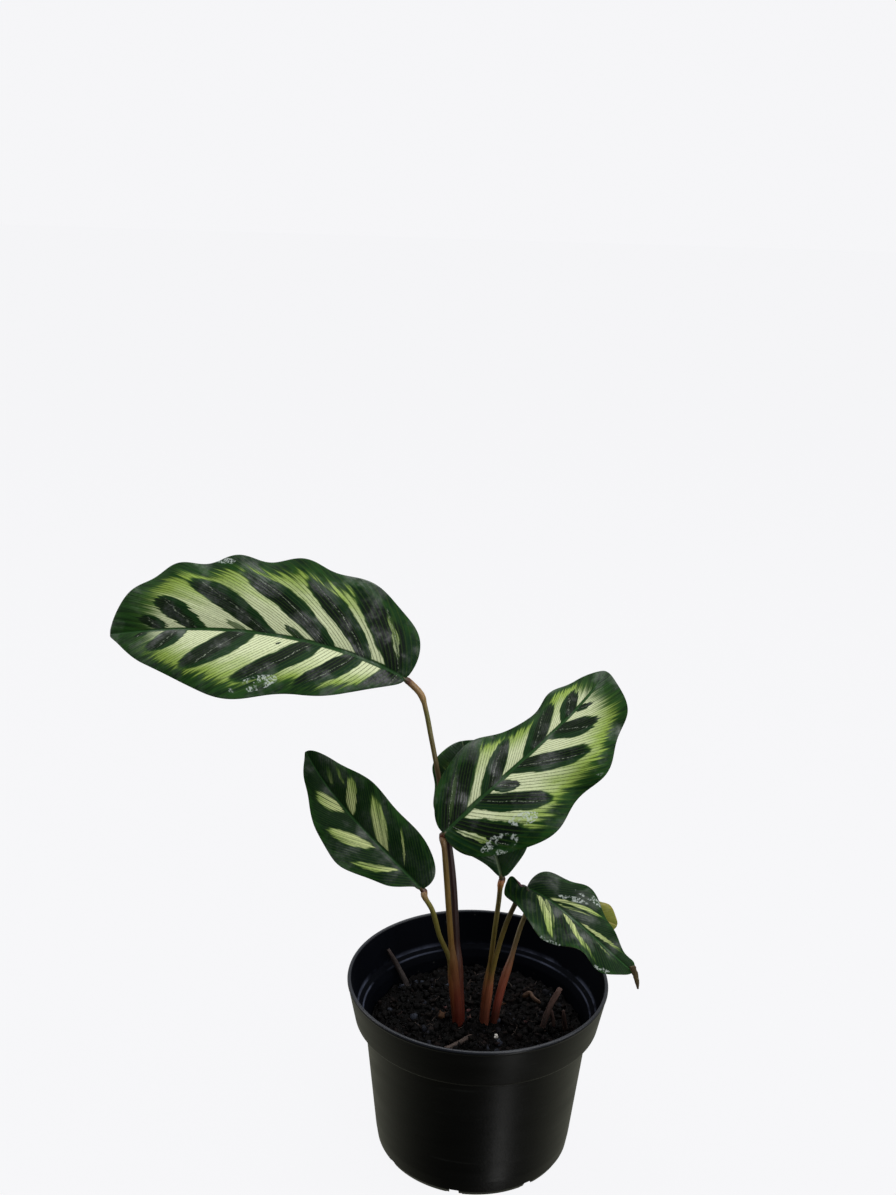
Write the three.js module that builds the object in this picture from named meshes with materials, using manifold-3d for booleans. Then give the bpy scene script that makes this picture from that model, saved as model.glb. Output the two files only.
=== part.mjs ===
// A young peacock plant growing in a black plastic nursery pot.
// Millimetres, +Z up. The origin is on the pot's axis, on the surface that the pot stands on.

import * as THREE from 'three';
import { mergeVertices } from 'three/addons/utils/BufferGeometryUtils.js';
import Module from 'manifold-3d';

const wasm = await Module();
wasm.setup();

// Driving dimensions of the pot: a 10 cm round nursery pot

const POT = {
  height: 72,
  rimRadius: 50,
  lip: 1.6,
  wall: 1,
  collarTop: 49.7,
  collarFoot: 46.9,
  collarFootHeight: 55.8,
  collarStep: 0.8,
  bodyTop: 43.2,
  bodyFoot: 38.2,
  bodyFootHeight: 8,
  ledgeOuter: 46,
  ledgeOuterHeight: 58.4,
  ledgeInner: 43.6,
  ledgeInnerHeight: 57.2,
  footRadius: 34.5,
  footWidth: 4,
  heel: [[1.7, 0.9], [2.9, 3]],
  discRadius: 12,
  floorSlope: 1.2,
  floorRise: 2,
  floorThickness: 1.4,
  sides: 48,
};
const DRAIN = { count: 8, width: 6, height: 3.2, reach: 31.6, depth: 12, turn: -54 };

// Driving dimensions of the soil. CLEARANCE is its gap to the pot, SEAT the gap round what stands in it,
// and FINEST the shortest edge that is kept in any piece.

const CLEARANCE = 0.5;
const SEAT = 0.55;
const FINEST = 0.03;
const SOIL = {
  level: 50,
  rings: 7,
  ringCrowding: 0.8,
  bank: 0.8,
  edgeDrop: 0.7,
  chips: 30,
  chipSize: [1.6, 4.6],
  chipMargin: 6,
  seed: 41,
};

// The lumps of the soil's top: each is a height times a product of waves,
// and a wave is its turns along x and y in radians per millimetre, and its phase

const LUMPS = [
  { height: 0.66, waves: [[0.42, 0, 1.3], [0, 0.37, 0.97]] },
  { height: 0.4, waves: [[0.83, -0.71, 2]] },
  { height: 0.38, waves: [[1.7, 0.9, 0], [-0.8, 1.3, 1.57]] },
];

// Driving dimensions of the blades. A rib line is a Bezier curve from the leaf stalk to the tip.
// left and right are half-widths at seven stations, and the stations sit at even turns of half a circle,
// so they crowd towards both ends, where the outline is round. lobe carries the margin back past the stalk.
// wave is [lift, ripple, count, phase in degrees] of the waved margin; fold lifts each half off the flat.

const BLADE = {
  thickness: 0.7,
  rib: 1.1,
  ribReach: 0.16,
  ribTaper: 0.6,
  crown: 0.07,
  lobeReach: 0.3,
  lobeCurve: 0.4,
  ends: [0.09, Math.PI - 0.14],
};
const ACROSS = [0, 0.09, 0.36, 0.7, 1];

const LEAVES = {
  leaf_1: {
    rib: [[-31.5, 22, 183.5], [-69, 17, 205.5], [-111, 12, 205], [-141, 14, 199]],
    face: [-8, 42],
    rows: 26,
    left: { width: [6.5, 14.5, 22.6, 27.5, 24, 13.5, 4], lobe: 0, fold: [10, 4], wave: [1.2, 1.6, 2.8, -119] },
    right: { width: [16.5, 26, 30, 29, 26.5, 21, 10.5], lobe: 3, fold: [10, 4], wave: [1.8, 0.6, 5.3, 100] },
  },
  leaf_2: {
    rib: [[-14.5, -2, 132], [11.5, 10, 156.5], [35, 24, 171.5], [44.5, 34, 185.5]],
    face: [8, 38],
    rows: 24,
    left: { width: [8.5, 17, 18, 11, 14, 11, 5.5], lobe: 1, fold: [10, -50], wave: [1, 0.5, 4.4, 26] },
    right: { width: [13, 23.2, 27.3, 25.2, 22, 15.6, 6], lobe: 3, fold: [6, 12], wave: [1.8, 1.5, 3.1, 160] },
  },
  leaf_3: {
    rib: [[-22, -8, 112], [-39.5, 2, 125], [-58, 12, 135.5], [-69, 20, 153]],
    face: [-12, 38],
    rows: 19,
    left: { width: [1.5, 9, 14, 16, 10.6, 6.6, 1.6], lobe: 0, fold: [16, 10], wave: [1, 0.7, 3.3, 15] },
    right: { width: [8.2, 13, 14.4, 15, 13, 8.5, 4], lobe: 2.5, fold: [16, 10], wave: [1, 0.5, 2.5, 260] },
  },
  leaf_4: {
    rib: [[7.5, 12, 108], [2.5, 17, 125.5], [-6.5, 24, 141.5], [-9.5, 31, 155.5]],
    face: [-10, 25],
    rows: 16,
    left: { width: [2.4, 6.2, 13, 16, 15.5, 13.5, 6.5], lobe: 0.5, fold: [10, 0], wave: [0.8, 1, 2.8, 224] },
    right: { width: [4.8, 12, 16.3, 17.5, 16, 13, 9], lobe: 1, fold: [10, 0], wave: [0.8, 1, 3.6, -161] },
  },
  leaf_5: {
    rib: [[17, 0, 110], [27.5, -5, 109], [42, -16, 99.5], [56, -24, 91]],
    face: [20, 48],
    rows: 24,
    left: { width: [5.2, 10.2, 12.9, 13.3, 8, 4.4, 3.6], lobe: 1.5, fold: [0, 0], wave: [1.8, 0, 3, 0] },
    right: { width: [8, 11, 14.5, 13, 7.5, 6.5, 3.2], lobe: 9.5, fold: [48, -22], wave: [2, 0, 3, 90] },
  },
  leaf_6: {
    rib: [[21, 14, 99], [31, 12, 98], [41, 9, 95.5], [52.5, 6, 92.5]],
    face: [15, 50],
    rows: 12,
    left: { width: [4.5, 6, 7.5, 8, 6.5, 7, 3], lobe: 0, fold: [0, 0], wave: [0.5, 0, 2, 0] },
    right: { width: [4.5, 6, 7, 7, 6.5, 5, 3], lobe: 0, fold: [0, 0], wave: [0.5, 0.4, 3.6, 100] },
  },
};

// The dry brown hook at the tip of the lowest leaf

const DRY_TIP = {
  path: [[54.8, -23.4, 91.6], [57.6, -24.6, 91.8], [58.6, -25, 87.5], [57.6, -25.2, 83.2]],
  radius: 0.75,
  taper: 0.7,
};

// Driving dimensions of the stalks: the line of each, its radius, and its swollen joint under the blade.
// A sheath is the wider, paler foot of a stalk, which wraps the next one. The stalk's end lies behind
// the blade's base: lead and end are its last two points, as distances back along the rib and down from it.

const STALK = {
  radius: 0.95,
  sides: 7,
  step: 6,
  sheathTaper: 10,
  jointRadius: 1.3,
  jointTaper: 3,
  end: [0.7, 0.8],
  lead: [2.9, 1.8],
  blunt: 0.45,
  bluntReach: 1.2,
};
const ROOTED = 14;
const SHOOTS = {
  shoot_1: {
    leaf_1: {
      path: [[-6.5, 1.5, 50], [-7.5, 2.5, 65.5], [-8.5, 4, 80], [-10.5, 8, 103.5], [-12.5, 11, 118.5],
        [-15.5, 15, 133.5], [-18.5, 20, 147.5], [-21.5, 23, 160.5], [-23.6, 24, 170], [-25.6, 24, 176.5]],
      sheath: [2.2, 34],
      joint: 13,
    },
    leaf_2: {
      path: [[-7, 0.5, 50], [-8.5, 0, 66], [-9.8, -0.5, 78], [-11.5, -1, 95.5], [-13, -2, 113],
        [-14.4, -3, 127.5]],
      sheath: [1.9, 36],
      joint: 6,
    },
    leaf_3: {
      path: [[-7.5, 0.5, 50], [-8.8, 0, 62], [-11, -1, 78.5], [-15, -4, 90.5], [-18, -7, 103],
        [-21, -8.5, 109.5]],
      sheath: [1.7, 30],
      joint: 5,
    },
  },
  shoot_2: {
    leaf_4: {
      path: [[3, 2.5, 50], [4, 3, 66], [5.5, 6, 84], [7, 10, 99], [7.5, 12.2, 105]],
      sheath: [1.8, 26],
      joint: 6,
    },
    leaf_5: {
      path: [[3.5, 2, 50], [4.4, 1.8, 62], [5.5, 2, 72], [8, 1.5, 85.5], [10.5, 1, 95.5], [13.5, 0.8, 104]],
      sheath: [1.5, 22],
      joint: 5,
    },
  },
  shoot_3: {
    leaf_6: {
      path: [[7.2, 3.2, 50], [9.4, 5, 63.5], [12.5, 7, 75], [15.5, 10, 86.5], [18, 12.5, 94]],
      sheath: [1.6, 30],
      joint: 4,
    },
  },
};

// Old stumps and litter on the soil: the line of each and its radius at both ends.
// Their third coordinate is the height above the soil under that point.

const LITTER = {
  old_stalk_left: {
    path: [[-27.5, 23, -4], [-29.5, 24.5, 3], [-33, 26.5, 8.5], [-36.5, 25.5, 16]],
    radius: [1.5, 0.8],
  },
  old_stalk_right: {
    path: [[24.9, -1.8, -4], [26, -1, 2], [28.2, 0.8, 8], [32, 2.4, 15.5]],
    radius: [1.2, 1.1],
  },
  old_stalk_small: { path: [[34.8, -1, -4], [34.4, -1, 2], [33.4, -1.2, 9]], radius: [1.1, 0.7] },
  fallen_twig: { path: [[-11, -18, 1], [-6.5, -14, 1], [-1.5, -8.5, 1.3]], radius: [1.1, 0.8] },
  bark_curl: {
    path: [[18.2, 18.6, 0.9], [21.3, 18.2, 3], [22.6, 15.5, 3.2], [25.6, 13.6, 0.9]],
    radius: [1.3, 1.1],
  },
};
const FORK = { path: [[30.6, 0.2, -4], [29.9, 0.4, 2], [28.6, 0.9, 7.5]], radius: [0.9, 0.7] };
const STICK_STEP = 4.5;
const PERLITE = { at: [7.9, -9.1], radius: 1.25, lift: 0.9 };

// Finishes

const FINISH = {
  pot: { color: 0x16171a, roughness: 0.35, metalness: 0 },
  soil: { color: 0x1d1712, roughness: 0.95, metalness: 0 },
  blade: { color: 0x24502f, roughness: 0.4, metalness: 0 },
  agedBlade: { color: 0x6f7338, roughness: 0.5, metalness: 0 },
  stalk: { color: 0x6b4a2c, roughness: 0.5, metalness: 0 },
  bark: { color: 0x5a4233, roughness: 0.9, metalness: 0 },
  perlite: { color: 0xe9e9e4, roughness: 0.8, metalness: 0 },
};

// Geometry helpers

const rad = THREE.MathUtils.degToRad;
const point = ([x, y, z]) => new THREE.Vector3(x, y, z);

function seededRandom(seed) {
  let state = seed;
  return () => {
    state = (state * 16807) % 2147483647;
    return state / 2147483647;
  };
}

function solidOf(geometry) {
  const bare = geometry.clone();
  bare.deleteAttribute('normal');
  bare.deleteAttribute('uv');
  const merged = mergeVertices(bare, 1e-4);
  const corners = merged.index.array;
  const kept = [];
  for (let first = 0; first < corners.length; first += 3) {
    const [a, b, c] = corners.slice(first, first + 3);
    if (a !== b && b !== c && c !== a) kept.push(a, b, c);
  }
  return new wasm.Manifold(new wasm.Mesh({
    numProp: 3,
    vertProperties: new Float32Array(merged.attributes.position.array),
    triVerts: new Uint32Array(kept),
  }));
}

// The triangles of a solid's largest piece, so that a loose scrap left by a cut is dropped

function geometryOf(solid) {
  const [largest] = solid.simplify(FINEST).decompose().sort((a, b) => b.volume() - a.volume());
  const mesh = largest.getMesh();
  const geometry = new THREE.BufferGeometry();
  geometry.setAttribute('position', new THREE.BufferAttribute(mesh.vertProperties, 3));
  geometry.setIndex(new THREE.BufferAttribute(mesh.triVerts, 1));
  return geometry;
}

function join(geometries) {
  return geometryOf(geometries.map(solidOf).reduce((sum, solid) => sum.add(solid)));
}

function cut(geometry, tools) {
  return geometryOf(tools.map(solidOf).reduce((rest, tool) => rest.subtract(tool), solidOf(geometry)));
}

function meshOf(name, geometry, finish) {
  const mesh = new THREE.Mesh(geometry, new THREE.MeshStandardMaterial(finish));
  mesh.name = name;
  return mesh;
}

// A closed skin over rings of points that all have the same count, with a flat cap at each end

function skin(rings) {
  const sides = rings[0].length;
  const positions = rings.flat().flatMap((p) => [p.x, p.y, p.z]);
  const triangles = [];
  for (let row = 0; row < rings.length - 1; row += 1) {
    for (let side = 0; side < sides; side += 1) {
      const next = (side + 1) % sides;
      const a = row * sides + side;
      const b = row * sides + next;
      const c = a + sides;
      const d = b + sides;
      triangles.push(a, b, d, a, d, c);
    }
  }
  const last = (rings.length - 1) * sides;
  for (let side = 1; side < sides - 1; side += 1) {
    triangles.push(0, side + 1, side);
    triangles.push(last, last + side, last + side + 1);
  }
  const geometry = new THREE.BufferGeometry();
  geometry.setAttribute('position', new THREE.Float32BufferAttribute(positions, 3));
  geometry.setIndex(triangles);
  return geometry;
}

// A round stalk along a smooth line, with a ring of points at each step of its length;
// radiusAt gives its radius from the distance along it

function stalk(points, radiusAt, step, sides) {
  const line = new THREE.CatmullRomCurve3(points, false, 'centripetal');
  const length = line.getLength();
  const steps = Math.ceil(length / step);
  const frames = line.computeFrenetFrames(steps, false);
  const rings = frames.tangents.map((tangent, index) => {
    const centre = line.getPointAt(index / steps);
    const radius = radiusAt((index / steps) * length, length);
    return Array.from({ length: sides }, (_, side) => {
      const turn = (side / sides) * 2 * Math.PI;
      return centre.clone()
        .addScaledVector(frames.normals[index], radius * Math.cos(turn))
        .addScaledVector(frames.binormals[index], radius * Math.sin(turn));
    });
  });
  return skin(rings);
}

// Pot

function potGeometry() {
  const p = POT;
  const foot = p.footRadius - p.footWidth;
  const outside = [
    [0, 0], [p.discRadius, 0], [p.discRadius + p.floorSlope, p.floorRise],
    [foot - p.floorSlope, p.floorRise], [foot, 0], [p.footRadius, 0],
    ...p.heel.map(([out, up]) => [p.footRadius + out, up]), [p.bodyFoot, p.bodyFootHeight],
    [p.bodyTop, p.collarFootHeight - p.collarStep], [p.collarFoot - 0.6, p.collarFootHeight - 0.2],
    [p.collarFoot, p.collarFootHeight + 0.5], [p.collarTop, p.height - 1.6], [p.rimRadius, p.height - 1],
    [p.rimRadius - 0.3, p.height],
  ];
  const inside = [
    [p.rimRadius - p.lip + 0.4, p.height], [p.rimRadius - p.lip, p.height - 0.8],
    [p.ledgeOuter, p.ledgeOuterHeight], [p.ledgeInner, p.ledgeInnerHeight],
    [p.bodyTop - p.wall, p.collarFootHeight - 2 * p.collarStep],
    [p.bodyFoot - p.wall, p.bodyFootHeight], [p.footRadius + 1.5, 3.6], [p.footRadius, p.floorThickness],
    [foot + 0.4, p.floorThickness], [foot - 0.8, p.floorRise + p.floorThickness],
    [p.discRadius + 0.8, p.floorRise + p.floorThickness], [p.discRadius - 0.4, p.floorThickness],
    [0, p.floorThickness],
  ];
  const profile = [...outside, ...inside].map(([radius, height]) => new THREE.Vector2(radius, height));
  const shell = new THREE.LatheGeometry(profile, p.sides).rotateX(Math.PI / 2);
  const slots = Array.from({ length: DRAIN.count }, (_, index) => {
    const slot = new THREE.BoxGeometry(DRAIN.depth, DRAIN.width, DRAIN.height * 2);
    slot.translate(DRAIN.reach + DRAIN.depth / 2, 0, 0);
    return slot.rotateZ(rad(DRAIN.turn + (index * 360) / DRAIN.count));
  });
  return cut(shell, slots);
}

// Soil: a plug that follows the pot's inside, with a lumpy top that chips of bark stand out of

function soilHeight(x, y) {
  const lumps = LUMPS.map(({ height, waves }) => waves.reduce(
    (product, [turnX, turnY, phase]) => product * Math.sin(turnX * x + turnY * y + phase),
    height,
  ));
  const edge = SOIL.edgeDrop * (Math.hypot(x, y) / POT.bodyTop) ** 6;
  return lumps.reduce((sum, lump) => sum + lump, SOIL.level + SOIL.bank * (y / POT.bodyTop) - edge);
}

function soilPlug() {
  const p = POT;
  const s = SOIL;
  const shoulder = p.collarFootHeight - p.collarStep;
  const slope = (p.bodyTop - p.bodyFoot) / (shoulder - p.bodyFootHeight);
  const brim = p.bodyTop - p.wall - CLEARANCE - (shoulder - s.level) * slope;
  const foot = p.footRadius - p.footWidth;
  const floor = p.floorThickness + CLEARANCE;
  const outline = [
    [p.discRadius - 1, floor], [p.discRadius + 0.4, floor + p.floorRise], [foot - 0.4, floor + p.floorRise],
    [foot + 1, floor], [p.footRadius - 0.6, floor], [p.footRadius + 0.8, 3.8],
    [p.bodyFoot - p.wall - CLEARANCE, p.bodyFootHeight],
  ];
  const circle = (radius, heightAt) => Array.from({ length: p.sides }, (_, side) => {
    const turn = (side / p.sides) * 2 * Math.PI;
    const x = radius * Math.cos(turn);
    const y = radius * Math.sin(turn);
    return new THREE.Vector3(x, y, heightAt(x, y));
  });
  const rings = outline.map(([radius, height]) => circle(radius, () => height));
  for (let ring = 0; ring < s.rings; ring += 1) {
    rings.push(circle(brim * (1 - ring / s.rings) ** s.ringCrowding, soilHeight));
  }
  return skin(rings);
}

function soilChips() {
  const s = SOIL;
  const random = seededRandom(s.seed);
  const between = (low, high) => low + (high - low) * random();
  const reach = POT.bodyTop - POT.wall - s.chipMargin;
  return Array.from({ length: s.chips }, () => {
    const length = between(...s.chipSize);
    const chip = new THREE.BoxGeometry(length, length * between(0.4, 0.8), length * between(0.3, 0.6));
    chip.rotateX(between(-0.7, 0.7)).rotateY(between(-0.6, 0.6)).rotateZ(between(0, Math.PI));
    const radius = reach * Math.sqrt(random());
    const turn = between(0, 2 * Math.PI);
    const x = radius * Math.cos(turn);
    const y = radius * Math.sin(turn);
    return chip.translate(x, y, soilHeight(x, y) + between(0, 0.25) * length);
  });
}

// Blades

// A smooth curve through four values in a row, between the second and the third

function smoothBetween(a, b, c, d, t) {
  return b + 0.5 * ((c - a) * t + (2 * a - 5 * b + 4 * c - d) * t ** 2 + (3 * b - a - 3 * c + d) * t ** 3);
}

function throughStations(widths, turn) {
  const values = [0, ...widths, 0];
  const last = values.length - 1;
  const at = Math.min((turn / Math.PI) * last, last - 1e-9);
  const from = Math.floor(at);
  const value = (index) => {
    if (index < 0) return -values[-index];
    return index > last ? -values[2 * last - index] : values[index];
  };
  return smoothBetween(value(from - 1), value(from), value(from + 1), value(from + 2), at - from);
}

function bladeFrame(leaf, along) {
  const line = new THREE.CubicBezierCurve3(...leaf.rib.map(point));
  const [azimuth, elevation] = leaf.face.map(rad);
  const face = new THREE.Vector3(
    Math.sin(azimuth) * Math.cos(elevation),
    -Math.cos(azimuth) * Math.cos(elevation),
    Math.sin(elevation),
  );
  const tangent = line.getTangent(along);
  const side = face.cross(tangent).normalize();
  return { origin: line.getPoint(along), tangent, side, normal: tangent.clone().cross(side) };
}

// A point of the upper face: turn runs from 0 at the stalk to pi at the tip, and
// across from -1 at the right margin to 1 at the left one

function bladePoint(leaf, turn, across) {
  const along = (1 - Math.cos(turn)) / 2;
  const { origin, tangent, side, normal } = bladeFrame(leaf, along);
  const half = across < 0 ? leaf.right : leaf.left;
  const out = Math.abs(across);
  const [lift, ripple, count, phase] = half.wave;
  const wave = Math.sin(2 * Math.PI * count * along + rad(phase)) * Math.sin(turn);
  const width = throughStations(half.width, turn) + ripple * wave;
  const fold = rad(THREE.MathUtils.lerp(...half.fold, along));
  const crown = BLADE.crown * width * 4 * out * (1 - out);
  const reach = Math.min(along / BLADE.lobeReach, 1);
  const back = half.lobe * Math.sin(Math.PI * reach ** BLADE.lobeCurve) * out ** 1.5;
  return origin
    .addScaledVector(side, Math.sign(across) * out * width * Math.cos(fold))
    .addScaledVector(normal, out * width * Math.sin(fold) + crown + lift * wave * out ** 2.5)
    .addScaledVector(tangent, -back);
}

function bladeGeometry(leaf) {
  const stations = [...ACROSS.slice(1).reverse().map((across) => -across), ...ACROSS];
  const columns = stations.length;
  const upper = [];
  const lower = [];
  const nudge = 1e-3;
  for (let row = 0; row <= leaf.rows; row += 1) {
    const turn = THREE.MathUtils.lerp(...BLADE.ends, row / leaf.rows);
    const taper = 1 - BLADE.ribTaper * (row / leaf.rows);
    stations.forEach((across) => {
      const here = bladePoint(leaf, turn, across);
      const inward = across > 0 ? -nudge : nudge;
      const beside = bladePoint(leaf, turn, across + inward).sub(here).multiplyScalar(Math.sign(inward));
      const ahead = bladePoint(leaf, turn + nudge, across).sub(here);
      const normal = ahead.cross(beside).normalize();
      const rib = BLADE.rib * taper * Math.max(0, 1 - Math.abs(across) / BLADE.ribReach);
      upper.push(here);
      lower.push(here.clone().addScaledVector(normal, -(BLADE.thickness + rib)));
    });
  }
  return slab(upper, lower, leaf.rows + 1, columns);
}

// A closed sheet between two faces of points that are split into triangles alike

function slab(upper, lower, rows, columns) {
  const positions = [...upper, ...lower].flatMap((p) => [p.x, p.y, p.z]);
  const under = upper.length;
  const triangles = [];
  const quad = (a, b, c, d) => triangles.push(a, b, c, a, c, d);
  for (let row = 0; row < rows - 1; row += 1) {
    for (let column = 0; column < columns - 1; column += 1) {
      const a = row * columns + column;
      const b = a + columns;
      quad(a, b, b + 1, a + 1);
      quad(under + a, under + a + 1, under + b + 1, under + b);
    }
    const right = row * columns;
    const left = right + columns - 1;
    quad(right, under + right, under + right + columns, right + columns);
    quad(left, left + columns, under + left + columns, under + left);
  }
  const tip = (rows - 1) * columns;
  for (let column = 0; column < columns - 1; column += 1) {
    quad(column, column + 1, under + column + 1, under + column);
    quad(tip + column, under + tip + column, under + tip + column + 1, tip + column + 1);
  }
  const geometry = new THREE.BufferGeometry();
  geometry.setAttribute('position', new THREE.Float32BufferAttribute(positions, 3));
  geometry.setIndex(triangles);
  return geometry;
}

function dryTip() {
  const radiusAt = (distance, length) => DRY_TIP.radius * (1 - DRY_TIP.taper * (distance / length));
  return stalk(DRY_TIP.path.map(point), radiusAt, 2, 6);
}

// Shoots: the stalks that rise from one crown in the soil, grown together at their sheaths

function leafStalk({ path, sheath, joint }, leaf, grow) {
  const [sheathRadius, sheathHeight] = sheath;
  const { origin, tangent, normal } = bladeFrame(leaf, 0.002);
  const behind = ([back, down]) => (
    origin.clone().addScaledVector(tangent, -back).addScaledVector(normal, -down)
  );
  const [base] = path;
  const root = point([base[0], base[1], base[2] - ROOTED - grow]);
  const ease = THREE.MathUtils.smoothstep;
  const radiusAt = (distance, length) => {
    const bare = ease(distance - ROOTED, sheathHeight - STALK.sheathTaper, sheathHeight);
    const swollen = ease(distance, length - joint - STALK.jointTaper, length - joint);
    const blunt = STALK.blunt * ease(distance, length - STALK.bluntReach, length);
    const radius = THREE.MathUtils.lerp(sheathRadius, STALK.radius, bare);
    return radius + (STALK.jointRadius - STALK.radius) * swollen - blunt + grow;
  };
  const line = [root, ...path.map(point), behind(STALK.lead), behind(STALK.end)];
  return stalk(line, radiusAt, STALK.step, STALK.sides);
}

function shootGeometry(stalks, grow = 0) {
  return join(Object.entries(stalks).map(([leaf, shape]) => leafStalk(shape, LEAVES[leaf], grow)));
}

// Litter

function stick({ path, radius }, grow = 0, sides = 6) {
  const radiusAt = (distance, length) => THREE.MathUtils.lerp(radius[0], radius[1], distance / length) + grow;
  const points = path.map(([x, y, height]) => new THREE.Vector3(x, y, soilHeight(x, y) + height));
  const [foot, next] = points;
  foot.addScaledVector(next.clone().sub(foot).normalize(), -grow);
  return stalk(points, radiusAt, STICK_STEP, sides);
}

function litterGeometry(name, grow = 0) {
  const main = stick(LITTER[name], grow);
  return name === 'old_stalk_right' ? join([main, stick(FORK, grow)]) : main;
}

function perliteGeometry(grow = 0) {
  const [x, y] = PERLITE.at;
  const grain = new THREE.IcosahedronGeometry(PERLITE.radius + grow, 0);
  return grain.translate(x, y, soilHeight(x, y) + PERLITE.lift);
}

// Assembly

const plant = new THREE.Group();
plant.add(meshOf('pot', potGeometry(), FINISH.pot));

const seats = [
  ...Object.values(SHOOTS).map((stalks) => shootGeometry(stalks, SEAT)),
  ...Object.keys(LITTER).map((name) => litterGeometry(name, SEAT)),
  perliteGeometry(SEAT),
];
plant.add(meshOf('soil', cut(join([soilPlug(), ...soilChips()]), seats), FINISH.soil));

Object.entries(SHOOTS).forEach(([name, stalks]) => {
  plant.add(meshOf(name, shootGeometry(stalks), FINISH.stalk));
});

Object.entries(LEAVES).forEach(([name, leaf]) => {
  const blade = bladeGeometry(leaf);
  const whole = name === 'leaf_5' ? join([blade, dryTip()]) : blade;
  plant.add(meshOf(name, whole, name === 'leaf_6' ? FINISH.agedBlade : FINISH.blade));
});

Object.keys(LITTER).forEach((name) => {
  plant.add(meshOf(name, litterGeometry(name), FINISH.bark));
});
plant.add(meshOf('perlite', perliteGeometry(), FINISH.perlite));

export default plant;
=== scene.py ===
"""The looks of a young peacock plant in a black nursery pot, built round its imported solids.

Lengths in the tables are millimetres, as in the solids' own source; `mm` turns them into metres.
"""

import logging
import math
import random
from dataclasses import dataclass, replace
from enum import Enum
from typing import Callable, Iterable, Sequence, Union

import bmesh
import bpy
import numpy as np
from mathutils import Matrix, Vector, noise


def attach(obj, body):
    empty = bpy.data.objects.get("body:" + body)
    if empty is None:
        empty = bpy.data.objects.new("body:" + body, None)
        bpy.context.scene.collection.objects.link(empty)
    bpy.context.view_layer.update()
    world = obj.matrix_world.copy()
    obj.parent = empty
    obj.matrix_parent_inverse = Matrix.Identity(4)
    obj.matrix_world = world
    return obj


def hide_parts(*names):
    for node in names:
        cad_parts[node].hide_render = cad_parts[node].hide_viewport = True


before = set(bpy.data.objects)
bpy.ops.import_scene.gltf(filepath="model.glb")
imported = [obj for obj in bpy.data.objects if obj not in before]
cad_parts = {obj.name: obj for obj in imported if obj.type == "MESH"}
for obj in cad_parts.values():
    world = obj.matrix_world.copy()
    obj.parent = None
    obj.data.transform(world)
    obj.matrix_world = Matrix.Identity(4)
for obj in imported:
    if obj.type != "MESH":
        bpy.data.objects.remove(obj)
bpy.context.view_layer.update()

LOG = logging.getLogger("peacock_plant")
MM = 0.001
UV_UNIT = 100.0
FULL_TURN = 2 * math.pi
Colour = tuple[float, float, float]
Point = tuple[float, float, float]
Term = Union["Signal", float, Colour]


def mm(value: float) -> float:
    """Returns a length of millimetres in metres."""
    return value * MM


def srgb(red: int, green: int, blue: int) -> Colour:
    """Turns a screen colour into the linear colour that a shader takes.

    Args:
        red: red, from 0 to 255.
        green: green, from 0 to 255.
        blue: blue, from 0 to 255.

    Returns:
        The linear colour.
    """
    def linear(value: int) -> float:
        """Returns one part of the colour, from 0 to 1."""
        share = value / 255
        return share / 12.92 if share <= 0.04045 else ((share + 0.055) / 1.055) ** 2.4

    return linear(red), linear(green), linear(blue)


def smooth_step(value: float, low: float, high: float) -> float:
    """Returns 0 below low, 1 above high and a smooth rise between."""
    share = min(max((value - low) / (high - low), 0.0), 1.0)
    return share * share * (3 - 2 * share)


class Side(Enum):
    """The two halves of a blade, looking from the stalk to the tip with the upper face in view."""

    LEFT = 1
    RIGHT = -1


class Tone(Enum):
    """The tone that a marking has on the blade."""

    DARK = "dark"
    PALE = "pale"


# Shader wiring

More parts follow.
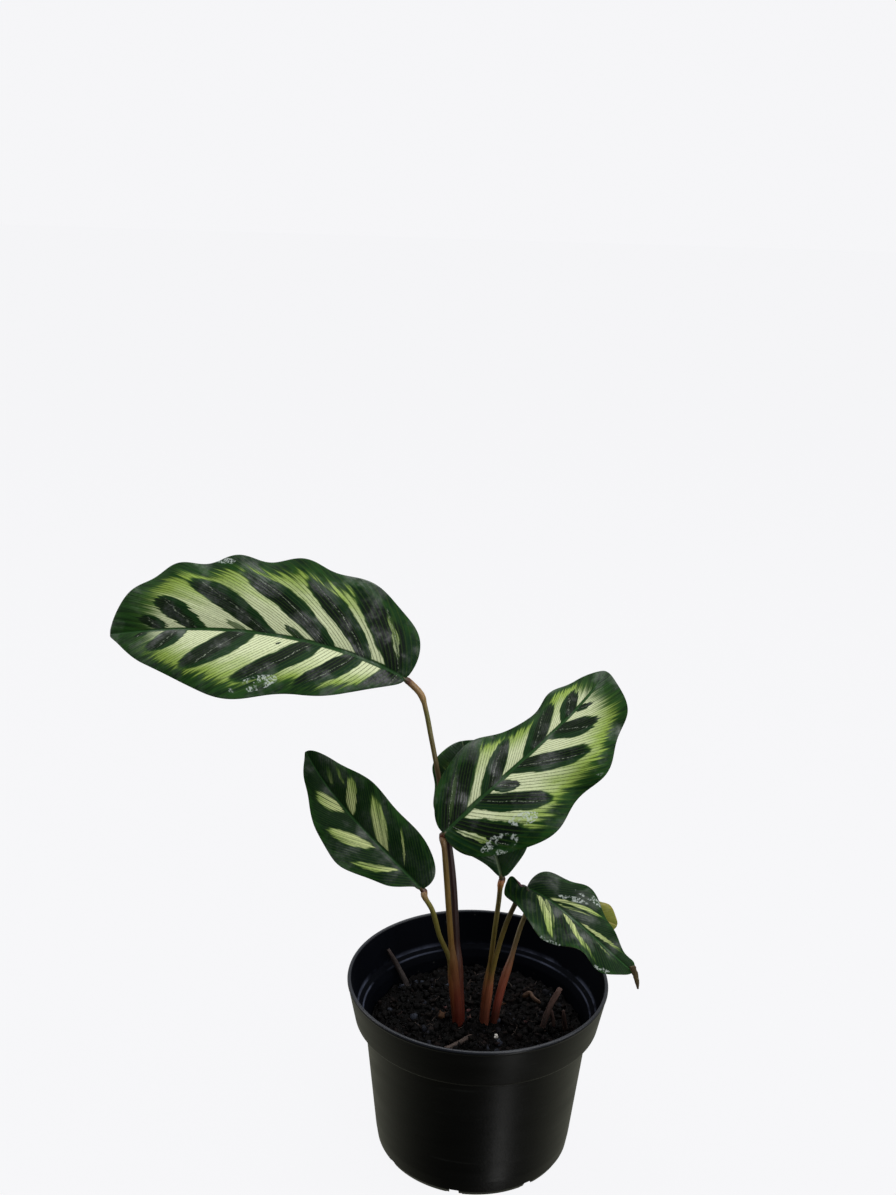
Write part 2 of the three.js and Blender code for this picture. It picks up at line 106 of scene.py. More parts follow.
class Signal:
    """A value, a vector or a colour in a shader tree, which sums are written on as on a number."""

    MIX_SHARE, MIX_FIRST, MIX_SECOND, MIX_RESULT = 0, 6, 7, 2
    NOISE_ROUGHNESS = 0.55

    def __init__(self, wire: "Wiring", socket: bpy.types.NodeSocket) -> None:
        """Takes hold of a node's output.

        Args:
            wire: the wiring of its tree.
            socket: the output.
        """
        self.wire = wire
        self.socket = socket

    def __add__(self, other: Term) -> "Signal":
        """Returns the sum of both."""
        return self.wire.math("ADD", self, other)

    def __sub__(self, other: Term) -> "Signal":
        """Returns this less the other."""
        return self.wire.math("SUBTRACT", self, other)

    def __rsub__(self, other: Term) -> "Signal":
        """Returns the other less this."""
        return self.wire.math("SUBTRACT", other, self)

    def __mul__(self, other: Term) -> "Signal":
        """Returns the product of both."""
        return self.wire.math("MULTIPLY", self, other)

    def __truediv__(self, other: Term) -> "Signal":
        """Returns this as a share of the other."""
        return self.wire.math("DIVIDE", self, other)

    def __pow__(self, power: float) -> "Signal":
        """Returns this raised to a power."""
        return self.wire.math("POWER", self, power)

    def __abs__(self) -> "Signal":
        """Returns this without its sign."""
        return self.wire.math("ABSOLUTE", self)

    def __or__(self, other: Term) -> "Signal":
        """Returns the larger of both, which joins two masks."""
        return self.wire.math("MAXIMUM", self, other)

    __radd__ = __add__
    __rmul__ = __mul__

    def step(self, low: Term, high: Term) -> "Signal":
        """Returns 0 where this is below low and 1 above high, with a smooth rise between."""
        node = self.wire.add("ShaderNodeMapRange", interpolation_type="SMOOTHSTEP")
        return self.wire.output(node, "Result", Value=self, From_Min=low, From_Max=high)

    def fall(self, low: Term, high: Term) -> "Signal":
        """Returns 1 where this is below low and 0 above high, with a smooth fall between."""
        return 1.0 - self.step(low, high)

    def span(self, low: float, high: float) -> "Signal":
        """Returns this, which goes from 0 to 1, spread from low to high."""
        node = self.wire.add("ShaderNodeMapRange")
        return self.wire.output(node, "Result", Value=self, To_Min=low, To_Max=high)

    def mix(self, first: Term, second: Term) -> "Signal":
        """Returns a colour that goes from the first to the second as this goes from 0 to 1."""
        node = self.wire.add("ShaderNodeMix", data_type="RGBA", clamp_factor=True)
        for index, value in ((self.MIX_SHARE, self), (self.MIX_FIRST, first), (self.MIX_SECOND, second)):
            self.wire.feed(node.inputs[index], value)
        return Signal(self.wire, node.outputs[self.MIX_RESULT])

    def ramp(self, stops: Iterable[tuple[float, Colour]]) -> "Signal":
        """Returns the colour at this place, from 0 to 1, on a row of colours.

        Args:
            stops: the places and their colours, in any order, at least two of them.

        Returns:
            The colour.
        """
        node = self.wire.add("ShaderNodeValToRGB")
        first, *middle, last = sorted(stops)
        ends = node.color_ramp.elements
        for stop, (at, colour) in zip((ends[0], ends[1]), (first, last)):
            stop.position = at
            stop.color = (*colour, 1.0)
        for at, colour in middle:
            ends.new(at).color = (*colour, 1.0)
        return self.wire.output(node, "Color", Fac=self)

    def noise(self, scale: float, detail: float = 3.0) -> "Signal":
        """Returns cloudy noise of 0 to 1 over this vector, in cells per unit of it."""
        return self.wire.output(self.wire.add("ShaderNodeTexNoise"), "Fac", Vector=self, Scale=scale,
                                Detail=detail, Roughness=self.NOISE_ROUGHNESS)

    def cells(self, scale: Term) -> "Signal":
        """Returns the distance over this vector to the nearest of scattered points."""
        return self.wire.output(self.wire.add("ShaderNodeTexVoronoi"), "Distance", Vector=self, Scale=scale)

    def scaled(self, *by: float) -> "Signal":
        """Returns this vector with each of its parts scaled."""
        node = self.wire.add("ShaderNodeVectorMath", operation="MULTIPLY")
        self.wire.feed(node.inputs[0], self)
        node.inputs[1].default_value = by
        return Signal(self.wire, node.outputs[0])

    def parts(self) -> tuple["Signal", ...]:
        """Returns the three parts of this vector."""
        node = self.wire.add("ShaderNodeSeparateXYZ")
        self.wire.feed(node.inputs[0], self)
        return tuple(Signal(self.wire, socket) for socket in node.outputs)


class Wiring:
    """Adds nodes to a shader tree and joins them, so that a material reads as a list of steps."""

    def __init__(self, tree: bpy.types.NodeTree) -> None:
        """Starts on a tree."""
        self.tree = tree

    def add(self, kind: str, **settings: object) -> bpy.types.Node:
        """Adds a node.

        Args:
            kind: the node's type.
            settings: the node's own properties.

        Returns:
            The new node.
        """
        node = self.tree.nodes.new(kind)
        for name, value in settings.items():
            setattr(node, name, value)
        return node

    def feed(self, socket: bpy.types.NodeSocket, value: Term) -> None:
        """Links a socket to a signal, or sets it to a plain value."""
        if isinstance(value, Signal):
            self.tree.links.new(value.socket, socket)
        elif socket.type == "RGBA":
            socket.default_value = (*value, 1.0)
        else:
            socket.default_value = value

    def fill(self, node: bpy.types.Node, **values: Term) -> None:
        """Feeds a node's inputs, whose names are spelled with underscores for spaces."""
        for name, value in values.items():
            self.feed(node.inputs[name.replace("_", " ")], value)

    def output(self, node: bpy.types.Node, name: str, **values: Term) -> Signal:
        """Feeds a node's inputs and returns one of its outputs."""
        self.fill(node, **values)
        return Signal(self, node.outputs[name])

    def math(self, operation: str, *values: Term) -> Signal:
        """Adds a sum on single values.

        Args:
            operation: the name of the sum, as the Math node spells it.
            values: its operands, plain or linked.

        Returns:
            The result.
        """
        node = self.add("ShaderNodeMath", operation=operation)
        for socket, value in zip(node.inputs, values):
            self.feed(socket, value)
        return Signal(self, node.outputs[0])

    def joined(self, x: Term, y: Term) -> Signal:
        """Returns a flat vector of two parts."""
        return self.output(self.add("ShaderNodeCombineXYZ"), "Vector", X=x, Y=y)

    def uv(self, name: str) -> Signal:
        """Returns a piece's UV map."""
        return self.output(self.add("ShaderNodeUVMap", uv_map=name), "UV")

    def place(self, kind: str = "Object") -> Signal:
        """Returns the place on the object, in metres, or another of its coordinates."""
        return self.output(self.add("ShaderNodeTexCoord"), kind)

    def group(self, tree: bpy.types.NodeTree, **values: Term) -> tuple[Signal, ...]:
        """Places a shared effect.

        Args:
            tree: the effect's node group.
            values: its inputs by name, with spaces written as underscores.

        Returns:
            The effect's outputs.
        """
        node = self.add("ShaderNodeGroup", node_tree=tree)
        self.fill(node, **values)
        return tuple(Signal(self, socket) for socket in node.outputs)

    def bump(self, height: Signal, strength: float, distance: float, under: Signal | None = None) -> Signal:
        """Returns a normal that a height has dented, on top of an earlier normal if one is given."""
        node = self.add("ShaderNodeBump")
        if under is not None:
            self.fill(node, Normal=under)
        return self.output(node, "Normal", Height=height, Strength=strength, Distance=distance)


def new_group(name: str, inputs: Sequence[str], *outputs: str) -> tuple[
        bpy.types.NodeTree, Wiring, dict[str, Signal], bpy.types.Node]:
    """Makes an empty shared effect.

    Args:
        name: the effect's name.
        inputs: its inputs, where a name that starts with a star is a vector.
        outputs: its outputs, all of them values.

    Returns:
        The group, its wiring, its inputs by name and the node that holds its outputs.
    """
    tree = bpy.data.node_groups.new(name, "ShaderNodeTree")
    for label in inputs:
        kind = "NodeSocketVector" if label.startswith("*") else "NodeSocketFloat"
        tree.interface.new_socket(label.lstrip("*"), in_out="INPUT", socket_type=kind)
    for label in outputs:
        tree.interface.new_socket(label, in_out="OUTPUT", socket_type="NodeSocketFloat")
    wire = Wiring(tree)
    given = {socket.name: Signal(wire, socket) for socket in wire.add("NodeGroupInput").outputs}
    return tree, wire, given, wire.add("NodeGroupOutput")


def marking_group() -> bpy.types.NodeTree:
    """Builds the marking effect: an oval that lies along the veins, joined to the ovals before it.

    Returns:
        The node group, whose inputs are in millimetres. Its outputs are the ovals' mask, that of their darker
        cores, which lie towards the side of the tip, and their middle veins. The cores are the ovals' own
        darker middles, moved off centre so that the side towards the stalk stays green as a painted sheen.
    """
    inputs = ("*Veins", "Root", "Tip", "Near", "Far", "Width", "Softness", "Amount", "Masks", "Cores",
              "Lines")
    end_power, core_stretch, sheen_side_shift = 2.5, 1.5, 0.4
    core_rim, vein_rim, vein_ends = (0.55, 1.3), (0.04, 0.2), (0.6, 1.0)
    tree, wire, given, result = new_group("Marking", inputs, "Mask", "Core", "Line")
    root_at, outward, _ = given["Veins"].parts()
    along = (outward - given["Near"]) / (given["Far"] - given["Near"])
    off = root_at - ((given["Tip"] - given["Root"]) * along + given["Root"])
    aside = off / (given["Width"] * 0.5)
    from_middle = abs(along * 2.0 - 1.0)
    ends = from_middle ** end_power
    mask = (aside * aside + ends).fall(1.0 - given["Softness"], given["Softness"] + 1.0)
    # The darker core is moved towards the tip, so the side towards the stalk stays green as a painted sheen.
    towards_tip = aside * core_stretch - sheen_side_shift
    core = (towards_tip * towards_tip + ends * 1.25).fall(*core_rim)
    line = abs(off).fall(*vein_rim) * from_middle.fall(*vein_ends)
    for socket, part, label in zip(result.inputs, (mask, core, line), ("Masks", "Cores", "Lines")):
        wire.feed(socket, part * given["Amount"] | given[label])
    return tree


def line_group() -> bpy.types.NodeTree:
    """Builds the fine-line effect: thin lines at an even spacing, which fade in and out by noise.

    Returns:
        The node group. Place is the coordinate that the lines count along.
    """
    tree, wire, given, result = new_group("Fine lines", ("Place", "Spacing", "Thickness", "Noise"), "Lines")
    away = wire.math("PINGPONG", given["Place"], given["Spacing"] * 0.5)
    wire.feed(result.inputs[0], away.fall(0.0, given["Thickness"]) * given["Noise"].step(0.22, 0.5))
    return tree


def speck_group() -> bpy.types.NodeTree:
    """Builds the speck effect: scattered grains, such as dust or dried drops, where noise lets them be.

    Returns:
        The node group. Place is in metres, and Size is the spacing of the grains in cells per metre.
    """
    tree, wire, given, result = new_group("Specks", ("*Place", "Size", "Grain", "Patches"), "Specks")
    near = given["Place"].cells(given["Size"]).fall(0.0, given["Grain"])
    wire.feed(result.inputs[0], near * given["Patches"])
    return tree


@dataclass(frozen=True)
class Effects:
    """The shader effects that several finishes share."""

    marking: bpy.types.NodeTree
    lines: bpy.types.NodeTree
    specks: bpy.types.NodeTree


def new_material(name: str) -> tuple[bpy.types.Material, Wiring, bpy.types.Node]:
    """Makes a material.

    Args:
        name: its name.

    Returns:
        The material, the wiring of its tree and its Principled shader.
    """
    material = bpy.data.materials.new(name)
    material.use_nodes = True
    shader = material.node_tree.nodes["Principled BSDF"]
    return material, Wiring(material.node_tree), shader


# Meshes and pieces

def mesh_of(bm: bmesh.types.BMesh, name: str) -> bpy.types.Mesh:
    """Turns a bmesh into a mesh and frees it."""
    mesh = bpy.data.meshes.new(name)
    bm.to_mesh(mesh)
    bm.free()
    return mesh


def new_object(name: str, data: bpy.types.ID) -> bpy.types.Object:
    """Puts a mesh, a light or a camera into the scene as an object."""
    made = bpy.data.objects.new(name, data)
    bpy.context.scene.collection.objects.link(made)
    return made


def new_piece(name: str, mesh: bpy.types.Mesh, materials: Iterable[bpy.types.Material],
              replaced: Sequence[str] = ()) -> None:
    """Puts a finished mesh into the scene as a piece of the plant.

    Args:
        name: the piece's name.
        mesh: its mesh, in the plant's own frame.
        materials: its finishes, in the order of its faces' material numbers.
        replaced: the solids that it stands for.
    """
    mesh.name = name
    piece = new_object(name, mesh)
    for material in materials:
        mesh.materials.append(material)
    mesh.shade_smooth()
    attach(piece, "root")
    if replaced:
        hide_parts(*replaced)
    LOG.info("%s: %d faces", name, len(mesh.polygons))


def combined(first: bpy.types.Mesh, others: Sequence[bpy.types.Mesh], operation: str) -> bpy.types.Mesh:
    """Grows meshes together into one closed skin or cuts them out, and keeps each face's material number.

    Args:
        first: the mesh that the others are added to or cut from.
        others: the rest.
        operation: the Boolean modifier's word for it.

    Returns:
        The joint mesh.
    """
    if not others:
        return first
    body = new_object("body", first)
    parts = []
    for other in others:
        part = new_object("part", other)
        parts.append(part)
        joint = body.modifiers.new("joint", "BOOLEAN")
        joint.operation = operation
        joint.solver = "EXACT"
        joint.object = part
    graph = bpy.context.evaluated_depsgraph_get()
    made = bpy.data.meshes.new_from_object(body.evaluated_get(graph))
    for spare in (body, *parts):
        bpy.data.objects.remove(spare)
    return made


def smooth_line(points: Sequence[Sequence[float]], step: float) -> tuple[np.ndarray, np.ndarray]:
    """Runs a smooth line through points, evenly stepped along its length.

    Args:
        points: the points it goes through.
        step: the distance between two places on it.

    Returns:
        The places on the line, and the distance of each from the start.
    """
    given = np.array(points, dtype=float)
    given = np.vstack([2 * given[0] - given[1], given, 2 * given[-1] - given[-2]])
    fine = []
    for a, b, c, d in zip(given, given[1:], given[2:], given[3:]):
        before, here, after = (max(np.linalg.norm(q - p), 1e-9) ** 0.5 for p, q in ((a, b), (b, c), (c, d)))
        leave = ((b - a) / before - (c - a) / (before + here) + (c - b) / here) * here
        arrive = ((c - b) / here - (d - b) / (here + after) + (d - c) / after) * here
        t = np.linspace(0, 1, 24, endpoint=False)[:, None]
        fine.append((2 * t ** 3 - 3 * t ** 2 + 1) * b + (t ** 3 - 2 * t ** 2 + t) * leave
                    + (3 * t ** 2 - 2 * t ** 3) * c + (t ** 3 - t ** 2) * arrive)
    fine = np.vstack([*fine, given[-2]])
    gone = np.concatenate([[0], np.cumsum(np.linalg.norm(np.diff(fine, axis=0), axis=1))])
    distance = np.linspace(0, gone[-1], max(int(gone[-1] / step), 4) + 1)
    return np.stack([np.interp(distance, gone, fine[:, axis]) for axis in range(3)], axis=1), distance


def frames_along(line: np.ndarray) -> tuple[np.ndarray, np.ndarray]:
    """Returns two directions square to a line at each of its places, which don't twist along it."""
    way = np.gradient(line, axis=0)
    way /= np.linalg.norm(way, axis=1)[:, None]
    first = np.zeros_like(line)
    start = np.cross(way[0], (0.31, 0.87, 0.12))
    first[0] = start / np.linalg.norm(start)
    for index in range(1, len(line)):
        carried = first[index - 1] - way[index] * np.dot(first[index - 1], way[index])
        first[index] = carried / np.linalg.norm(carried)
    return first, np.cross(way, first)


def grid_place(at: Vector, rows: int, columns: int) -> tuple[int, int]:
    """Returns the row and the column of a vertex of a grid that spans -1 to 1 both ways."""
    return round((at.x + 1) / 2 * rows), round((at.y + 1) / 2 * columns)


def tube(line: np.ndarray, distance: np.ndarray, radius: Callable[[float, float], float],
         sides: int = 24, squash: float = 1.0) -> bpy.types.Mesh:
    """Wraps a grid round a line into a closed tube.

    Args:
        line: the places on the line, in millimetres.
        distance: how far along the line each is.
        radius: gives the radius from the distance and the turn round the line, in radians.
        sides: the number of faces round it.
        squash: how flat it is, as a share of its width.

    Returns:
        The mesh, whose UV map round holds the distance and the turn as a share of a full one.
    """
    bm = bmesh.new()
    rows = len(line) - 1
    layer = bm.loops.layers.uv.new("round")
    bmesh.ops.create_grid(bm, x_segments=rows, y_segments=sides, size=1)
    first, second = frames_along(line)
    for face in bm.faces:
        for loop in face.loops:
            row, side = grid_place(loop.vert.co, rows, sides)
            loop[layer].uv = (distance[row] / UV_UNIT, side / sides)
    for vert in bm.verts:
        row, side = grid_place(vert.co, rows, sides)
        turn = FULL_TURN * side / sides
        reach = radius(distance[row], turn)
        place = line[row] + reach * (first[row] * math.cos(turn) + second[row] * math.sin(turn) * squash)
        vert.co = Vector(place) * MM
    bmesh.ops.remove_doubles(bm, verts=bm.verts, dist=1e-7)
    bmesh.ops.holes_fill(bm, edges=[edge for edge in bm.edges if edge.is_boundary], sides=0)
    bmesh.ops.recalc_face_normals(bm, faces=bm.faces)
    return mesh_of(bm, "tube")


# Leaves

@dataclass(frozen=True)
class Marking:
    """An oval on a blade, drawn in vein coordinates.

    root and tip are where its two ends meet the midrib when they are followed back along the veins;
    near and far are how far from the midrib it starts and ends.
    """

    root: float
    tip: float
    near: float
    far: float
    width: float
    tone: Tone = Tone.DARK
    amount: float = 1.0
    softness: float = 0.16


@dataclass(frozen=True)
class Half:
    """One half of a blade: its half-widths at seven stations, its form and its markings.

    fan is how the veins leave the midrib: their slope at the stalk, its growth towards the tip, their bend.
    fold is the angle that the half stands up by, at the stalk and at the tip. wave is how far the margin goes
    up and down and in and out, how many times, and the angle that the waves start at.
    lobe is how far the base lobe hangs back past the stalk, lobe_swing its turn towards the other half, and
    lobe_reach and lobe_curve say along which share of the midrib and how evenly it hangs. Each curl lifts the
    margin: by how much, at which turn and how far to both sides of it.
    """

    width: tuple[float, ...]
    fan: Point
    lobe: float = 0.0
    lobe_power: float = 1.5
    lobe_reach: float = 0.3
    lobe_curve: float = 0.4
    lobe_swing: float = 0.0
    fold: tuple[float, float] = (0.0, 0.0)
    wave: tuple[float, float, float, float] = (0.0, 0.0, 1.0, 0.0)
    curls: tuple[Point, ...] = ()
    markings: tuple[Marking, ...] = ()

    def width_at(self, turn: np.ndarray) -> np.ndarray:
        """Returns the half's width, from the smooth curve through its stations, at each turn."""
        values = np.array([0, *self.width, 0.0])
        last = len(values) - 1
        mirrored = np.concatenate([-values[1:2], values, -values[-2:-1]])
        at = np.clip(turn / math.pi * last, 0, last - 1e-9)
        first = at.astype(int)
        t = at - first
        a, b, c, d = (mirrored[first + k] for k in range(4))
        cubic = ((3 * b - a - 3 * c + d) * t + 2 * a - 5 * b + 4 * c - d) * t + c - a
        return b + 0.5 * cubic * t

    def lobe_at(self, along: np.ndarray) -> np.ndarray:
        """Returns how far the margin hangs back at each place along the midrib."""
        reach = np.minimum(along / self.lobe_reach, 1)
        return self.lobe * np.sin(math.pi * reach ** self.lobe_curve) * (1 - reach ** 4)

    def curl_at(self, turn: np.ndarray) -> np.ndarray:
        """Returns how far the margin is lifted at each turn."""
        return sum(height * np.exp(-((turn - middle) / spread) ** 2) for height, middle, spread in self.curls)


@dataclass(frozen=True)
class BladeColours:
    """The colours of a blade's upper face, and how far out its pale ground reaches."""

    ground_pale: float = 1.0
    pale_to: float = 0.82
    tip_green: float = 0.93
    cream: Colour = srgb(200, 208, 168)
    lime: Colour = srgb(134, 158, 70)
    fringe: Colour = srgb(66, 98, 36)
    dark_green: Colour = srgb(9, 38, 18)
    # Painted sheen: the grey below and the share after it paint a speckled grey reflection over the dark
    # ovals and near the margin.
    dark_oval: Colour = srgb(6, 10, 10)
    sheen_grey: Colour = srgb(78, 78, 86)
    painted_sheen: float = 0.4
    vein_line: float = 0.6
    ragged: float = 1.3
    margin: Colour = srgb(8, 32, 13)
    margin_light: Colour = srgb(26, 60, 20)
    midrib: Colour = srgb(40, 74, 36)
    line: Colour = srgb(38, 60, 18)
    # The flecked markings below are hard-water deposits; on leaf 5 those that reach the margins are painted
    # glints.
    residue_and_glints: tuple[Marking, ...] = ()


def pale(root: float, tip: float, near: float, far: float, width: float, amount: float = 1.0) -> Marking:
    """Returns a pale marking, whose edge is softer than that of a dark one."""
    return Marking(root, tip, near, far, width, Tone.PALE, amount, 0.4)


PLANT_COLOURS = BladeColours()
DARK_LEAF = BladeColours(ground_pale=0.0, pale_to=0.86, cream=srgb(186, 196, 136), lime=srgb(146, 168, 88),
                         painted_sheen=0.34, vein_line=0.0, ragged=2.2)
OLD_LEAF = BladeColours(ground_pale=0.0, margin=srgb(104, 108, 42), margin_light=srgb(142, 132, 60),
                        midrib=srgb(150, 140, 80), dark_green=srgb(96, 104, 40), dark_oval=srgb(84, 92, 36),
                        painted_sheen=0.0, line=srgb(90, 90, 34))
PURPLE = srgb(92, 38, 58)
DEEP_PURPLE = srgb(66, 30, 42)
VEIN_PURPLE = srgb(128, 74, 92)
PURPLE_RIB = srgb(132, 96, 92)
RIB_GREEN = srgb(44, 54, 34)
MARGIN_GREEN = srgb(52, 78, 38)
MARGIN_BROWN = srgb(72, 56, 44)
MARGIN_GLINT = srgb(150, 162, 150)


@dataclass(frozen=True)
class Blade:
    """A leaf's blade: a thin sheet along a curved midrib, with waved margins, veins and markings.

    rib is the midrib's curve, and face the azimuth and elevation that the upper face looks towards. groove is
    the midrib's furrow: its depth, half-width and share lost at the tip. quilting is the size of the bulges
    between the veins, along and across them, and their place in the noise.
    """

    name: str
    rib: tuple[Point, Point, Point, Point]
    face: tuple[float, float]
    left: Half
    right: Half
    colours: BladeColours = PLANT_COLOURS
    slot: str = "patterned_leaf"
    rows: int = 240
    columns: int = 96
    ends: tuple[float, float] = (0.03, math.pi - 0.05)
    crown: float = 0.07
    wave_power: float = 2.5
    curl_power: float = 3.0
    thickness: float = 0.5
    margin_thickness: float = 0.2
    groove: Point = (0.22, 0.55, 0.7)
    rib_depth: float = 1.1
    rib_taper: float = 0.75
    rib_half_width: float = 1.2
    vein_spacing: float = 1.45
    vein_relief: float = 0.035
    quilt: float = 0.16
    quilting: Point = (4.5, 16.0, 3.7)
    calm_by_rib: float = 3.0
    calm_by_margin: float = 0.125
    relief_below: float = 0.6

    def half(self, side: Side) -> Half:
        """Returns the half of the blade on that side."""
        return self.left if side is Side.LEFT else self.right

    def facing(self) -> np.ndarray:
        """Returns the unit direction that the upper face looks towards."""
        azimuth, elevation = (math.radians(angle) for angle in self.face)
        return np.array([math.sin(azimuth) * math.cos(elevation),
                         -math.cos(azimuth) * math.cos(elevation), math.sin(elevation)])

    def midrib(self, along: np.ndarray) -> tuple[np.ndarray, np.ndarray]:
        """Follows the midrib.

        Args:
            along: places on it, from 0 at the stalk to 1 at the tip.

        Returns:
            The points and the unit directions there.
        """
        a, b, c, d = (np.array(p) for p in self.rib)
        t = along[:, None]
        points = (1 - t) ** 3 * a + 3 * (1 - t) ** 2 * t * b + 3 * (1 - t) * t ** 2 * c + t ** 3 * d
        ways = (1 - t) ** 2 * (b - a) + 2 * (1 - t) * t * (c - b) + t ** 2 * (d - c)
        return points, ways / np.linalg.norm(ways, axis=1)[:, None]

    def length_to(self, along: np.ndarray) -> np.ndarray:
        """Returns the length of the midrib from the stalk to each place along it."""
        fine = np.linspace(0, 1, 400)
        points, _ = self.midrib(fine)
        steps = np.linalg.norm(np.diff(points, axis=0), axis=1)
        return np.interp(along, fine, np.concatenate([[0], np.cumsum(steps)]))

    def upper_face(self, turn: np.ndarray, across: np.ndarray) -> tuple[np.ndarray, np.ndarray]:
        """Works out the upper face without its fine relief.

        Args:
            turn: the turn of each row, from 0 at the stalk to pi at the tip.
            across: each column's share of the half-width, from -1 at the right margin to 1 at the left.

        Returns:
            The points in millimetres, and each one's distance from the midrib, with the side as its sign.
        """
        along = (1 - np.cos(turn)) / 2
        points, way = self.midrib(along)
        aside = np.cross(self.facing(), way)
        aside /= np.linalg.norm(aside, axis=1)[:, None]
        up = np.cross(way, aside)
        sheet = np.zeros((len(turn), len(across), 3))
        outward = np.zeros(sheet.shape[:2])
        for side in Side:
            half = self.half(side)
            lift, ripple, count, phase = half.wave
            wave = np.sin(FULL_TURN * count * along + math.radians(phase)) * np.sin(turn)
            width = half.width_at(turn) + ripple * wave
            fold = np.radians(half.fold[0] + (half.fold[1] - half.fold[0]) * along)
            swing = math.radians(half.lobe_swing)
            back = way * math.cos(swing) + aside * (side.value * math.sin(swing))
            lobe, curl = half.lobe_at(along), half.curl_at(turn)
            for column in np.flatnonzero(across * side.value >= 0):
                out = abs(across[column])
                rise = (out * width * np.sin(fold) + self.crown * width * 4 * out * (1 - out)
                        + lift * wave * out ** self.wave_power + curl * out ** self.curl_power)
                sheet[:, column] = (points + aside * (side.value * out * width * np.cos(fold))[:, None]
                                    + up * rise[:, None] - back * (lobe * out ** half.lobe_power)[:, None])
                outward[:, column] = side.value * out * width
        return sheet, outward

    def roots(self, length: np.ndarray, outward: np.ndarray) -> np.ndarray:
        """Returns where the vein through each point leaves the midrib, in millimetres from the stalk."""
        found = np.zeros(outward.shape)
        for side in Side:
            slope, growth, bend = self.half(side).fan
            away = np.abs(outward)
            root = (length[:, None] - slope * away - bend * away ** 2) / (1 + growth * away)
            found = np.where(outward * side.value >= 0, root, found)
        return found

    def sheets(self, turn: np.ndarray, across: np.ndarray) -> tuple[np.ndarray, ...]:
        """Works out both faces with their relief, and the two sets of coordinates that the markings use.

        Args:
            turn: the turn of each row.
            across: each column's share of the half-width.

        Returns:
            The points of the upper and the lower face, the vein coordinates, and the shares of the
            length and of the half-width, all by row and column.
        """
        plain, outward = self.upper_face(turn, across)
        along = (1 - np.cos(turn)) / 2
        root = self.roots(self.length_to(along), outward)
        normal = np.cross(np.gradient(plain, axis=0), np.gradient(plain, axis=1))
        normal /= np.linalg.norm(normal, axis=2)[:, :, None] + 1e-12
        away = np.abs(outward)
        margin = (1 - np.abs(across))[None, :]
        room = np.clip(np.minimum(away / self.calm_by_rib, margin / self.calm_by_margin), 0, 1)
        down, over, layer = self.quilting
        quilt = np.array([[noise.noise(Vector((r / down, o / over, layer))) for r, o in zip(*pair)]
                          for pair in zip(root, outward)])
        veining = self.vein_relief * np.cos(FULL_TURN * root / self.vein_spacing)
        depth, half_width, fading = self.groove
        relief = (veining + self.quilt * quilt) * room
        relief -= depth * np.exp(-(away / half_width) ** 2) * (1 - fading * along)[:, None]
        thick = self.margin_thickness + (self.thickness - self.margin_thickness) * (1 - np.abs(across) ** 3)
        taper = (1 - self.rib_taper * along)[:, None]
        beside = away / (self.rib_half_width * taper)
        ridge = self.rib_depth * taper * np.sqrt(np.clip(1 - beside ** 2, 0, 1))
        upper = plain + normal * relief[:, :, None]
        lower = plain - normal * (thick[None, :] + ridge - relief * self.relief_below)[:, :, None]
        veins = np.stack([root, outward], axis=-1)
        share = np.stack(np.broadcast_arrays(along[:, None], across[None, :]), axis=-1)
        return upper, lower, veins, share

    def build(self) -> bpy.types.Mesh:
        """Forms the blade from two grids, one for each face, that are bridged along the margin.

        Returns:
            The mesh, with the UV maps veins and share. Its faces are 0 above, 1 below and 2 at the margin.
        """
        below = -0.1
        bm = bmesh.new()
        for layer in ("veins", "share"):
            bm.loops.layers.uv.new(layer)
        for level in (0.0, below):
            bmesh.ops.create_grid(bm, x_segments=self.rows, y_segments=self.columns, size=1,
                                  matrix=Matrix.Translation((0, 0, level)))
        for face in bm.faces:
            face.material_index = 0 if face.verts[0].co.z > below / 2 else 1
        bridge = bmesh.ops.bridge_loops(bm, edges=[edge for edge in bm.edges if edge.is_boundary])
        for face in bridge["faces"]:
            face.material_index = 2
        bmesh.ops.recalc_face_normals(bm, faces=bm.faces)
        mesh = mesh_of(bm, self.name)
        flat = np.zeros(len(mesh.vertices) * 3)
        mesh.vertices.foreach_get("co", flat)
        flat = flat.reshape(-1, 3)
        row = np.rint((flat[:, 0] + 1) / 2 * self.rows).astype(int)
        column = np.rint((flat[:, 1] + 1) / 2 * self.columns).astype(int)
        upper, lower, veins, share = self.sheets(np.linspace(*self.ends, self.rows + 1),
                                                 np.linspace(-1, 1, self.columns + 1))
        above = flat[:, 2] > below / 2
        placed = np.where(above[:, None], upper[row, column], lower[row, column]) * MM
        mesh.vertices.foreach_set("co", placed.ravel())
        corner = np.zeros(len(mesh.loops), dtype=int)
        mesh.loops.foreach_get("vertex_index", corner)
        for layer, values in (("veins", veins / UV_UNIT), ("share", share)):
            mesh.uv_layers[layer].data.foreach_set("uv", values[row, column][corner].ravel())
        mesh.update()
        return mesh

    def add(self, effects: Effects) -> None:
        """Adds the blade with its finishes, in place of its solid."""
        leaf = self.name.removesuffix("_blade")
        new_piece(self.name, self.build(), LeafFinish(self, effects).all(), [leaf])


